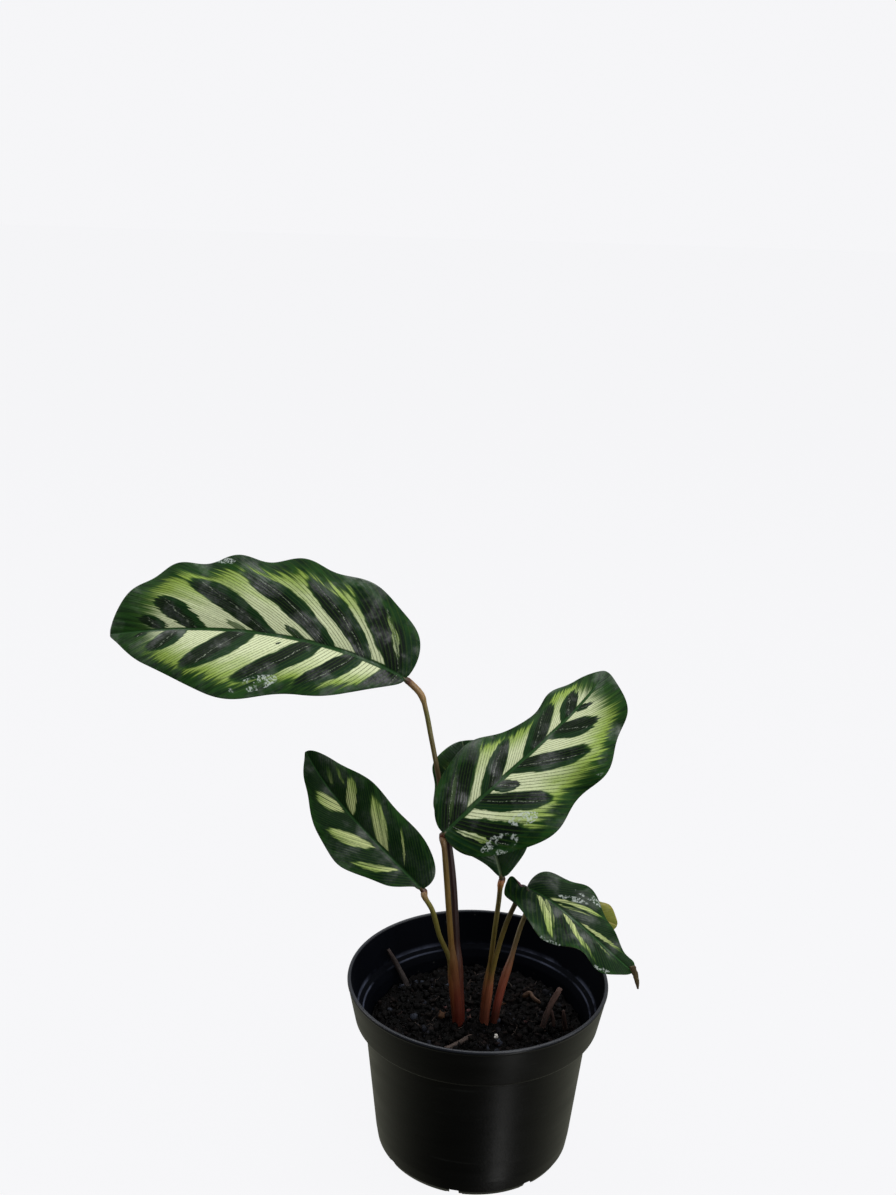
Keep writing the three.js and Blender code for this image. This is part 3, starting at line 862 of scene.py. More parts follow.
LEAF_1 = Blade(
    name="leaf_1_blade",
    rib=((-31.5, 22, 183.5), (-69, 17, 205.5), (-111, 12, 205), (-141, 14, 199)),
    face=(-8, 42),
    rows=300,
    columns=112,
    left=Half(width=(6.5, 14.5, 22.6, 27.5, 24, 13.5, 4), fan=(0.25, 0.016, 0.015), fold=(10, 4),
              wave=(1.2, 1.6, 2.8, -119),
              markings=(Marking(3.5, 3.5, -4, 23, 14.5), Marking(21, 22.5, -2.5, 20, 9),
                        Marking(37.5, 38, -2.5, 22, 11.3), Marking(64.5, 58.5, -2, 17, 13.5),
                        Marking(88.5, 80.5, -1, 9.3, 10), Marking(99.5, 97.5, 0.3, 2.6, 4),
                        Marking(46.5, 46.5, 2.6, 4, 1.2))),
    right=Half(width=(16.5, 26, 30, 29, 26.5, 21, 10.5), fan=(0.55, 0.028, 0.005), lobe=3, fold=(10, 4),
               wave=(1.8, 0.6, 5.3, 100),
               markings=(Marking(3.5, 2.5, 2, -27, 15), Marking(17.3, 16.8, 2.5, -23.5, 8.2),
                         Marking(32.5, 29.5, 3, -23, 10), Marking(42.3, 41, 0.8, -4.4, 5, Tone.DARK, 0.85),
                         Marking(56, 44.5, 2.5, -19.8, 10.5),
                         Marking(63.5, 61.5, 0.5, -3.4, 4, Tone.DARK, 0.5),
                         Marking(81.5, 63, 1, -12.8, 9.5), Marking(92.5, 83, -0.3, -6, 7),
                         pale(3.4, 2.6, -4.5, -19, 2.2, 0.7))),
    colours=BladeColours(residue_and_glints=(Marking(33, 33, 17, 26.5, 8), Marking(31, 31, -24, -28.5, 4))))

LEAF_2 = Blade(
    name="leaf_2_blade",
    rib=((-14.5, -2, 132), (11.5, 10, 156.5), (35, 24, 171.5), (44.5, 34, 185.5)),
    face=(8, 38),
    rows=280,
    columns=110,
    left=Half(width=(8.5, 17, 18, 11, 14, 11, 5.5), fan=(1.0, 0.015, 0.01), lobe=1, fold=(10, -50),
              wave=(1, 0.5, 4.4, 26),
              markings=(Marking(2, 3, -6, 21, 20.5), Marking(23.8, 23.8, -3, 11, 11.5),
                        Marking(46.2, 43.5, -2, 10.3, 13), Marking(65.3, 57.5, -1, 7.4, 9.5),
                        pale(3.2, 3.2, 2, 13.5, 2.2, 0.35))),
    right=Half(width=(13, 23.2, 27.3, 25.2, 22, 15.6, 6), fan=(0.45, 0.03, 0.005), lobe=3, fold=(6, 12),
               wave=(1.8, 1.5, 3.1, 160),
               markings=(Marking(4, 3, 3, -26, 12.5), Marking(17.6, 17.2, 4, -18.8, 8.4),
                         Marking(26.5, 24.2, 0.6, -6, 6), Marking(37, 34.8, 3, -15.2, 10.3),
                         Marking(57.5, 49, 1.5, -9.6, 10.5), Marking(68.3, 65.5, -0.2, -3.3, 5),
                         pale(3.2, 3.2, -2.5, -14.5, 2))),
    colours=BladeColours(pale_to=0.81, residue_and_glints=(
        Marking(3, 3, -13, -21.5, 7), Marking(11, 11, -13, -20, 5),
        Marking(23, 23, -22, -25.5, 4, Tone.DARK, 0.4))))

LEAF_3 = Blade(
    name="leaf_3_blade",
    rib=((-22, -8, 112), (-39.5, 2, 125), (-58, 12, 135.5), (-69, 20, 153)),
    face=(-12, 38),
    left=Half(width=(1.5, 9, 14, 16, 10.6, 6.6, 1.6), fan=(0.9, 0.03, 0.02), fold=(16, 10),
              wave=(1, 0.7, 3.3, 15),
              markings=(pale(9.6, 7.8, 1.6, 11.8, 3.4), pale(22.5, 20.3, 1.5, 10.4, 6.6),
                        pale(43.5, 38, 0.3, 6, 8.2))),
    right=Half(width=(8.2, 13, 14.4, 15, 13, 8.5, 4), fan=(1.2, 0.01, 0.01), lobe=2.5, fold=(16, 10),
               wave=(1, 0.5, 2.5, 260),
               markings=(pale(8.8, 5.8, -1.5, -11, 1.6, 0.8), pale(20.8, 18.6, 1, -11.8, 8.6),
                         pale(38.2, 32.6, -0.6, -10, 5.6), pale(41.5, 44, -5.8, -7.6, 5, 0.6),
                         pale(49.5, 50.5, -1.8, -4.8, 4.5, 0.6))),
    colours=DARK_LEAF)

LEAF_4 = Blade(
    name="leaf_4_blade",
    rib=((7.5, 12, 108), (2.5, 17, 125.5), (-6.5, 24, 141.5), (-9.5, 31, 155.5)),
    face=(-10, 25),
    left=Half(width=(2.4, 6.2, 13, 16, 15.5, 13.5, 6.5), fan=(0.8, 0.01, 0.01), lobe=0.5, fold=(10, 0),
              wave=(0.8, 1, 2.8, 224),
              markings=(pale(12, 10, 1, 8, 2.2, 0.6), pale(24, 22, 1, 10, 4, 0.8), pale(39, 36, 2, 12, 5))),
    right=Half(width=(4.8, 12, 16.3, 17.5, 16, 13, 9), fan=(0.8, 0.01, 0.01), lobe=1, fold=(10, 0),
               wave=(0.8, 1, 3.6, -161),
               markings=(pale(12, 10, -1, -10, 2.4, 0.6), pale(25, 23, -1, -12, 4.4, 0.8),
                         pale(38, 36, -1, -12, 5, 0.8))),
    colours=replace(DARK_LEAF, pale_to=0.94, margin=srgb(28, 60, 30), margin_light=srgb(64, 98, 52),
                    dark_green=srgb(26, 56, 32), dark_oval=srgb(18, 36, 24),
                    midrib=srgb(104, 122, 90)))

LEAF_5 = Blade(
    name="leaf_5_blade",
    rib=((17, 0, 110), (27.5, -5, 109), (42, -16, 99.5), (56, -24, 91)),
    face=(20, 48),
    left=Half(width=(5.2, 10.2, 12.9, 13.3, 8, 4.4, 3.6), fan=(1.2, 0.03, 0.02), lobe=1.5, lobe_curve=0.7,
              wave=(1.8, 0, 3, 0),
              markings=(pale(8.6, 13.6, 0.4, 9.2, 3.4), pale(12.4, 15.8, 0.2, 5.2, 2, 0.7),
                        pale(23.5, 35.5, 0.2, 3.6, 7.4))),
    right=Half(width=(7, 19, 17.6, 12.4, 8.7, 8.8, 4.2), fan=(0.2, 0.04, 0.02), lobe=17.4, lobe_power=0.9,
               lobe_reach=0.431, lobe_curve=0.756, lobe_swing=47.4, fold=(-6, 11.3), wave=(2, 0, 3, 90),
               curls=((6.5, 0.497, 0.22),),
               markings=(pale(6.9, 10.6, -3.2, -11.6, 3.8), pale(9.6, 11.6, -1, -8.6, 2, 0.7),
                         pale(16.2, 26.5, 0.4, -7.9, 5), pale(31, 43, -0.5, -2.6, 4.5, 0.6),
                         Marking(13.2, 18, -2.4, -7.6, 4), Marking(25, 32, -1.2, -4, 5))),
    # The markings that reach the margins are painted glints.
    colours=replace(DARK_LEAF, residue_and_glints=(
        Marking(7.4, 7.6, 3, 8.6, 3.6), Marking(3.6, 3.6, 8.8, 12.6, 6), Marking(13.5, 3.8, -11, -16.6, 3),
        Marking(34, 26, -6.4, -8.9, 3.6))))

LEAF_6 = Blade(
    name="leaf_6_blade",
    rib=((21, 14, 99), (31, 12, 98), (41, 9, 95.5), (52.5, 6, 92.5)),
    face=(15, 50),
    slot="aged_leaf",
    rows=180,
    columns=60,
    left=Half(width=(4.5, 6, 7.5, 8, 6.5, 7, 3), fan=(0.8, 0.02, 0.01), wave=(0.5, 0, 2, 0)),
    right=Half(width=(4.5, 6, 7, 7, 6.5, 5, 3), fan=(0.8, 0.02, 0.01), wave=(0.5, 0.4, 3.6, 100)),
    colours=OLD_LEAF)

BLADES = (LEAF_1, LEAF_2, LEAF_3, LEAF_4, LEAF_5, LEAF_6)


@dataclass(frozen=True)
class Grain:
    """A noise on a blade: its cells per millimetre along and across the midrib, and its detail."""

    along: float
    across: float
    detail: float

    def on(self, veins: Signal) -> Signal:
        """Returns the noise of 0 to 1 over vein coordinates."""
        return veins.scaled(self.along, self.across, 1.0).noise(1.0, self.detail)


FRINGE = Grain(0.9, 0.07, 2.0)
CLOUD = Grain(0.3, 0.2, 3.0)
FINE = Grain(2.6, 1.82, 2.0)
STREAK = Grain(1.5, 0.06, 1.0)
FOLDS = Grain(0.9, 0.16, 2.0)


@dataclass(frozen=True)
class LeafFinish:
    """The three finishes of a blade: its marked upper face, its purple lower face and its margin.

    A pair of numbers is where a mask starts and where it is full. The fringe, tip and rib edges are shares of
    the half-width, shares of the length and millimetres. fray is how far the ovals' outlines stray in
    millimetres, edge_fray how far the margin's does as a share of the half-width, and each of the sizes is a
    noise's cells per metre.
    """

    blade: Blade
    effects: Effects
    fray: float = 1.3
    edge_fray: float = 0.275
    fringe_edge: tuple[float, float] = (-0.13, 0.07)
    tip_edge: tuple[float, float] = (-0.1, 0.08)
    rib_edge: tuple[float, float] = (0.5, 1.15)
    rib_width: tuple[float, float] = (0.8, 0.3)
    patch_size: float = 100.0
    sheen_speckle_size: float = 1000.0
    pore_size: float = 1700.0
    crust_and_glint_size: float = 190.0
    flake_size: float = 1300.0
    drop_size: float = 420.0
    roughness: tuple[float, float] = (0.5, 0.32)
    gloss: tuple[float, float] = (0.07, 0.55)
    # This white serves both the hard-water deposits and leaf 5's painted glints.
    crust_and_glint: Colour = srgb(186, 196, 190)
    vein_light: Colour = srgb(170, 180, 160)

    def ovals(self, wire: Wiring, veins: Signal, markings: Iterable[Marking]) -> tuple[Term, ...]:
        """Joins ovals into one set of masks.

        Args:
            wire: the material's wiring.
            veins: the vein coordinates, in millimetres.
            markings: the ovals.

        Returns:
            The masks of the ovals, of their cores and of their middle veins, or zeros where there is no oval.
        """
        masks: tuple[Term, ...] = (0.0, 0.0, 0.0)
        for oval in markings:
            masks = wire.group(self.effects.marking, Veins=veins, Root=oval.root, Tip=oval.tip,
                               Near=oval.near, Far=oval.far, Width=oval.width, Softness=oval.softness,
                               Amount=oval.amount, Masks=masks[0], Cores=masks[1], Lines=masks[2])
        return masks

    def marks(self, wire: Wiring, veins: Signal, leftward: Signal, tone: Tone) -> list[Signal]:
        """Returns the masks of one tone's ovals, each kept on its own side of the midrib."""
        left, right = (self.ovals(wire, veins, [oval for oval in half.markings if oval.tone is tone])
                       for half in (self.blade.left, self.blade.right))
        rightward = 1.0 - leftward
        return [rightward * there + leftward * here for here, there in zip(left, right)]

    def upper(self) -> bpy.types.Material:
        """Builds the upper face: pale ground, dark ovals along the veins, a green margin and fine veins."""
        look = self.blade.colours
        material, wire, shader = new_material(f"{self.blade.name} upper face")
        veins = wire.uv("veins").scaled(UV_UNIT, UV_UNIT, 0.0)
        along, across, _ = wire.uv("share").parts()
        root, outward, _ = veins.parts()
        away, out, place = abs(outward), abs(across), wire.place()
        fringe, cloud, grain, streak = (kind.on(veins) for kind in (FRINGE, CLOUD, FINE, STREAK))
        frayed = wire.joined(root - look.ragged + cloud * (look.ragged * 2),
                             outward - self.fray + fringe * (self.fray * 2))
        leftward = wire.math("GREATER_THAN", outward, 0.0)
        dark, core, vein_line = self.marks(wire, frayed, leftward, Tone.DARK)
        light, _, _ = self.marks(wire, frayed, leftward, Tone.PALE)
        light *= streak.step(0.34, 0.52).span(0.5, 1.0)

        edge = out - self.edge_fray + fringe * (self.edge_fray * 2)
        inside = edge.fall(*(look.pale_to + past for past in self.fringe_edge))
        before_tip = (fringe * 0.16 + along).fall(*(look.tip_green + past for past in self.tip_edge))
        beside_rib = (away * along.span(0.75, 1.7)).step(*self.rib_edge)
        ground = (1.0 - dark) * look.ground_pale
        clear = (ground | light) * inside * before_tip * beside_rib

        limed = (cloud * 0.5 + out + along ** 3.0 * 0.35).step(0.5, 1.1)
        pale_colour = clear.step(0.25, 0.9).mix(look.fringe, limed.mix(look.cream, look.lime))
        green = cloud.step(0.35, 0.65).mix(look.margin, look.margin_light)
        unlit = 1.0 - look.ground_pale
        deep = (dark | unlit) * inside
        black = (core | unlit * 0.45) * inside
        colour = (deep * 0.75).mix(green, look.dark_green)
        colour = (black * 0.9).mix(colour, look.dark_oval)
        # Painted sheen: speckled grey patches of reflection over the dark cores and towards the margin. The
        # grain that speckles them is no dirt. The same patches also make the face glossier.
        patch = place.noise(self.patch_size, 5.0).step(0.47, 0.68)
        grit = place.noise(self.sheen_speckle_size, 2.0).step(0.49, 0.56)
        painted_sheen = grit.span(0.1, 1.0) * patch * look.painted_sheen
        margin_sheen = out.step(0.72, 0.95) * 0.5
        colour = (painted_sheen * (black | margin_sheen)).mix(colour, look.sheen_grey)
        colour = clear.mix(colour, pale_colour)

        (strand,) = wire.group(self.effects.lines, Place=root, Spacing=self.blade.vein_spacing,
                               Thickness=0.3, Noise=grain)
        colour = (strand * 0.8).mix(colour, look.line)
        colour = (grain.step(0.52, 0.7) * 0.32).mix(colour, look.line)
        dotted = vein_line * inside * grain.step(0.45, 0.6)
        colour = (dotted * look.vein_line).mix(colour, self.vein_light)
        rib_width = along.span(*self.rib_width)
        colour = (away.fall(rib_width * 0.4, rib_width) * 0.7).mix(colour, look.midrib)

        glossy = patch * (1.0 - clear)
        pores = wire.bump(place.noise(self.pore_size, 2.0), 0.4, mm(0.14))
        wire.fill(shader, Base_Color=self.with_residue_and_glints(wire, veins, colour),
                  Roughness=glossy.span(*self.roughness), Specular_IOR_Level=glossy.span(*self.gloss),
                  Normal=wire.bump(FOLDS.on(veins), 0.5, mm(0.4), pores))
        return material

    def with_residue_and_glints(self, wire: Wiring, veins: Signal, colour: Signal) -> Signal:
        """Adds white flecks where the blade has any: hard-water deposits, and painted glints at leaf 5's
        margins.
        """
        if not self.blade.colours.residue_and_glints:
            return colour
        region, _, _ = self.ovals(wire, veins, self.blade.colours.residue_and_glints)
        place = wire.place()
        cover = (region * 0.14 + place.noise(self.crust_and_glint_size, 4.0)).step(0.6, 0.68)
        flaky = region * cover * place.noise(self.flake_size, 2.0).step(0.42, 0.58)
        (specks,) = wire.group(self.effects.specks, Place=place, Size=self.drop_size, Grain=0.16,
                               Patches=region)
        return ((flaky | specks) * 0.7).mix(colour, self.crust_and_glint)

    def lower(self) -> bpy.types.Material:
        """Builds the lower face: dull purple, with paler ribs along the veins."""
        material, wire, shader = new_material(f"{self.blade.name} lower face")
        root, outward, _ = wire.uv("veins").scaled(UV_UNIT, UV_UNIT, 0.0).parts()
        along, _, _ = wire.uv("share").parts()
        place = wire.place()
        cloud = place.noise(90.0)
        (strand,) = wire.group(self.effects.lines, Place=root, Spacing=self.blade.vein_spacing, Thickness=0.2,
                               Noise=cloud)
        purple = (strand * 0.4).mix(cloud.mix(PURPLE, DEEP_PURPLE), VEIN_PURPLE)
        rib_colour = along.step(0.02, 0.12).mix(RIB_GREEN, PURPLE_RIB)
        wire.fill(shader, Base_Color=abs(outward).fall(0.6, 1.5).mix(purple, rib_colour),
                  Roughness=cloud.span(0.5, 0.7), Normal=wire.bump(place.noise(1400.0, 2.0), 0.3, mm(0.1)))
        return material

    def margin(self) -> bpy.types.Material:
        """Builds the thin margin, between the two faces' colours."""
        material, wire, shader = new_material(f"{self.blade.name} margin")
        place = wire.place()
        cloud = place.noise(120.0, 2.0)
        glint = place.noise(150.0).step(0.56, 0.64)
        wire.fill(shader, Base_Color=glint.mix(cloud.mix(MARGIN_GREEN, MARGIN_BROWN), MARGIN_GLINT),
                  Roughness=cloud.span(0.45, 0.6))
        return material

    def all(self) -> tuple[bpy.types.Material, ...]:
        """Returns the finishes in the order of the faces' material numbers."""
        return self.upper(), self.lower(), self.margin()


# Stalks

@dataclass(frozen=True)
class Stalk:
    """A leaf stalk, from its foot in the soil to the base of its blade.

    sheath is its radius at the foot and the sheath's height, joint the length of the thicker joint under the
    blade, lead how far behind and below the blade's base the stalk comes in, and stout how much thicker it is
    low down, and up to which height. colours are its tones at distances from the soil; negative ones count
    back from the blade. The tones near the soil are the sheath's own red-brown, darkened as painted shade
    inside the pot.
    """

    name: str
    blade: Blade
    path: tuple[Point, ...]
    sheath: tuple[float, float]
    joint: float
    colours: tuple[tuple[float, Colour], ...]
    radius: float = 0.95
    sheath_taper: float = 10.0
    sheath_overlap: float = 0.16
    joint_radius: float = 1.3
    joint_taper: float = 3.0
    joint_crease: float = 0.05
    blunt: tuple[float, float] = (0.75, 4.5)
    unevenness: float = 0.05
    rooted: float = 14.0
    lead: tuple[float, float] = (2.9, 1.8)
    under_rib: tuple[tuple[float, float], ...] = ((0.7, 0.95), (-2.4, 1.2))
    stout: tuple[float, float] = (0.0, 1.0)
    stout_taper: float = 30.0
    seed: int = 0

    def line(self) -> tuple[np.ndarray, np.ndarray]:
        """Returns the places on its line and how far along each is."""
        (origin,), (way,) = self.blade.midrib(np.array([0.002]))
        aside = np.cross(self.blade.facing(), way)
        up = np.cross(way, aside / np.linalg.norm(aside))
        x, y, z = self.path[0]
        behind = [origin - back * way - down * up for back, down in (self.lead, *self.under_rib)]
        return smooth_line([(x, y, z - self.rooted), *self.path, *behind], 1.0)

    def radius_at(self, length: float) -> Callable[[float, float], float]:
        """Returns the function of distance and turn that gives the stalk's radius."""
        foot, sheath_height = self.sheath
        thicker, thick_to = self.stout
        loss, blunt_from = self.blunt

        def at(distance: float, turn: float) -> float:
            """Returns the radius at a distance from the foot and a turn round the stalk."""
            above = distance - self.rooted
            bare = smooth_step(above, sheath_height - self.sheath_taper, sheath_height)
            swollen = smooth_step(distance, length - self.joint - self.joint_taper, length - self.joint)
            stout = thicker * (1 - smooth_step(above, thick_to - self.stout_taper, thick_to))
            plain = foot + (self.radius + stout - foot) * bare
            plain += (self.joint_radius - self.radius) * swollen
            plain -= loss * smooth_step(distance, length - blunt_from, length)
            around = Vector((math.cos(turn) * 1.1, math.sin(turn) * 1.1, distance / 9 + self.seed))
            lap = max(0.0, math.cos(turn - 0.5 - distance * 0.02)) ** 12
            return (plain * (1 + self.unevenness * noise.noise(around))
                    + self.sheath_overlap * (1 - bare) * lap
                    + self.joint_crease * swollen * math.sin(distance * 3.1))

        return at

    def build(self) -> tuple[bpy.types.Mesh, bpy.types.Material]:
        """Returns the stalk's mesh and its finish."""
        line, distance = self.line()
        return tube(line, distance, self.radius_at(distance[-1])), self.finish(distance[-1])

    def finish(self, length: float) -> bpy.types.Material:
        """Builds the stalk's finish, whose tone changes from the soil to the blade.

        Args:
            length: the stalk's length.

        Returns:
            The material.
        """
        material, wire, shader = new_material(f"{self.name} skin")
        gone, turn, _ = wire.uv("round").parts()
        place = wire.place()
        mottle = place.noise(260.0)
        stops = [((self.rooted + at if at >= 0 else length + at) / length, tone) for at, tone in self.colours]
        tone = ((mottle * 0.05 + gone - 0.025) * (UV_UNIT / length)).ramp(stops)
        streaks = wire.joined(gone * 14.0, turn * 22.0).noise(1.0)
        darker = wire.output(wire.add("ShaderNodeHueSaturation"), "Color", Color=tone, Saturation=1.1,
                             Value=0.62)
        colour = (streaks.step(0.42, 0.68) * 0.65).mix(tone, darker)
        colour = (place.cells(620.0).fall(0.1, 0.24) * 0.4).mix(colour, STALK_FLECK)
        ridges = wire.bump(streaks, 0.45, mm(0.2))
        relief = wire.bump(place.noise(2300.0, 2.0), 0.25, mm(0.1), ridges)
        wire.fill(shader, Base_Color=colour, Roughness=mottle.span(0.34, 0.52), Normal=relief)
        return material


@dataclass(frozen=True)
class Shoot:
    """A cluster of stalks that are grown together at the foot."""

    name: str
    stalks: tuple[Stalk, ...]

    def add(self) -> None:
        """Adds the shoot as one piece, on which each stalk keeps its own finish."""
        meshes, finishes = zip(*(stalk.build() for stalk in self.stalks))
        for index, mesh in enumerate(meshes):
            for finish in finishes:
                mesh.materials.append(finish)
            mesh.polygons.foreach_set("material_index", [index] * len(mesh.polygons))
        new_piece(f"{self.name}_stalks", combined(meshes[0], meshes[1:], "UNION"), (), [self.name])


# The browns at the stalks' feet are the sheaths' own red-brown, darkened as painted shade inside the pot.
RED_BROWN = srgb(76, 28, 18)
DEEP_BROWN = srgb(38, 20, 14)
MAROON = srgb(40, 16, 13)
OLIVE = srgb(92, 82, 40)
GOLDEN_OLIVE = srgb(118, 92, 42)
PINK_TAN = srgb(122, 72, 48)
STALK_FLECK = srgb(58, 34, 22)

SHOOT_1 = Shoot("shoot_1", (
    Stalk("stalk_1", LEAF_1,
          ((-6.5, 1.5, 50), (-7.5, 2.5, 65.5), (-8.5, 4, 80), (-10.5, 8, 103.5), (-12.5, 11, 118.5),
           (-15.5, 15, 133.5), (-18.5, 20, 147.5), (-21.5, 23, 160.5), (-23.6, 24, 170), (-25.6, 24, 176.5)),
          sheath=(2.2, 34), joint=13,
          colours=((-4, RED_BROWN), (2, RED_BROWN), (12, srgb(72, 32, 22)), (26, srgb(70, 38, 26)),
                   (36, MAROON), (70, MAROON), (92, srgb(92, 66, 40)), (-20, srgb(96, 94, 44)),
                   (-13, srgb(150, 120, 78)), (-5, srgb(124, 94, 60)), (-1, srgb(60, 70, 36))),
          stout=(0.42, 86)),
    Stalk("stalk_2", LEAF_2,
          ((-7, 0.5, 50), (-8.5, 0, 66), (-9.8, -0.5, 78), (-11.5, -1, 95.5), (-13, -2, 113),
           (-14.4, -3, 127.5)),
          sheath=(1.9, 36), joint=6,
          colours=((-4, RED_BROWN), (2, RED_BROWN), (12, srgb(86, 38, 25)), (24, srgb(100, 62, 36)),
                   (34, srgb(110, 80, 42)), (42, GOLDEN_OLIVE), (-14, srgb(104, 84, 40)),
                   (-7, srgb(98, 72, 40)), (-1, srgb(58, 66, 30))),
          lead=(1.3, 1.9), stout=(0.16, 90), seed=3),
    Stalk("stalk_3", LEAF_3,
          ((-7.5, 0.5, 50), (-8.8, 0, 62), (-11, -1, 78.5), (-15, -4, 90.5), (-18, -7, 103),
           (-21, -8.5, 109.5)),
          sheath=(1.7, 30), joint=5,
          colours=((-4, RED_BROWN), (3, srgb(88, 40, 26)), (20, srgb(104, 62, 34)), (30, OLIVE),
                   (-9, srgb(112, 108, 48)), (-5, srgb(124, 96, 60)), (-1, srgb(56, 66, 34))),
          lead=(1.2, 1.6), seed=5)))
SHOOT_2 = Shoot("shoot_2", (
    Stalk("stalk_4", LEAF_4, ((3, 2.5, 50), (4, 3, 66), (5.5, 6, 84), (7, 10, 99), (7.5, 12.2, 105)),
          sheath=(1.8, 26), joint=6,
          colours=((-4, DEEP_BROWN), (2, srgb(96, 52, 38)), (14, PINK_TAN), (24, srgb(112, 90, 42)),
                   (40, srgb(112, 102, 40)), (-10, srgb(110, 98, 42)), (-6, srgb(172, 108, 58)),
                   (-1, srgb(110, 100, 50))),
          lead=(1.6, 1.7), seed=8),
    Stalk("stalk_5", LEAF_5,
          ((3.5, 2, 50), (4.4, 1.8, 62), (5.5, 2, 72), (8, 1.5, 85.5), (10.5, 1, 95.5), (13.5, 0.8, 104)),
          sheath=(1.5, 22), joint=5,
          colours=((-4, DEEP_BROWN), (2, srgb(96, 52, 38)), (16, PINK_TAN), (24, srgb(108, 92, 44)),
                   (-10, OLIVE), (-5, srgb(88, 80, 46)), (-1, srgb(44, 56, 32))),
          seed=11)))
SHOOT_3 = Shoot("shoot_3", (
    Stalk("stalk_6", LEAF_6,
          ((7.2, 3.2, 50), (9.4, 5, 63.5), (12.5, 7, 75), (15.5, 10, 86.5), (18, 12.5, 94)),
          sheath=(1.6, 30), joint=4,
          colours=((-4, DEEP_BROWN), (3, srgb(72, 34, 24)), (10, srgb(116, 54, 42)), (22, srgb(120, 72, 50)),
                   (34, srgb(106, 90, 54)), (-6, srgb(128, 118, 64)), (-1, srgb(140, 124, 70))),
          seed=14), ))
SHOOTS = (SHOOT_1, SHOOT_2, SHOOT_3)


# Pot

@dataclass(frozen=True)
class PotFinish:
    """The pot's black plastic: satin, with a faint orange-peel surface, scuffs and dust inside."""

    black: Colour = srgb(2, 2, 3)
    worn_black: Colour = srgb(5, 5, 6)
    rim_highlight: Colour = srgb(64, 70, 82)
    scuff_grey: Colour = srgb(84, 86, 84)
    dust: Colour = srgb(150, 150, 142)
    inner_shade: Colour = srgb(1, 3, 9)
    glint: Colour = srgb(84, 90, 108)
    ledge_edges: tuple[float, float] = (45.9, 43.75)
    inner_roughness: float = 0.75

    def material(self) -> bpy.types.Material:
        """Builds the material."""
        material, wire, shader = new_material("black moulded plastic")
        place = wire.place()
        x, y, height = place.parts()
        radius = wire.math("SQRT", x * x + y * y)
        cloud = place.noise(38.0, 4.0)
        smears = place.scaled(30.0, 30.0, 190.0).noise(1.0)
        scuffs = place.scaled(60.0, 60.0, 900.0).noise(1.0, 2.0).step(0.66, 0.74)
        colour = cloud.step(0.35, 0.7).mix(self.black, self.worn_black)
        # Painted highlight: a pale blue-grey band along the top of the rim.
        colour = (height.step(mm(71.0), mm(71.8)) * 0.22).mix(colour, self.rim_highlight)
        colour = (scuffs * 0.08).mix(colour, self.scuff_grey)

        face_x, face_y, face_up = wire.place("Normal").parts()
        inward = face_up - (face_x * x + face_y * y) / radius
        inner = inward.step(0.2, 0.6) * height.fall(mm(71.3), mm(71.8))
        dusty = place.cells(230.0).fall(0.05, 0.13) * inner * cloud.step(0.5, 0.62)
        colour = (dusty * 0.6).mix(colour, self.dust)
        # Painted shade: the inside, the ledge's top included, is painted a bluish black.
        colour = (inner * 0.85).mix(colour, self.inner_shade)
        aside = abs(x).step(mm(10.0), mm(28.0)).span(0.15, 1.0)
        for edge in self.ledge_edges:
            glint = abs(radius - mm(edge)).fall(mm(0.12), mm(0.4)) * inner * aside * cloud.step(0.38, 0.52)
            colour = (glint * 0.5).mix(colour, self.glint)

        satin = smears.span(0.24, 0.42)
        peel = wire.bump(place.noise(900.0, 2.0), 0.25, mm(0.08))
        wire.fill(shader, Base_Color=colour, Roughness=satin + (self.inner_roughness - satin) * inner,
                  Specular_IOR_Level=inner.span(0.32, 0.05), Normal=wire.bump(smears, 0.2, mm(0.25), peel))
        return material


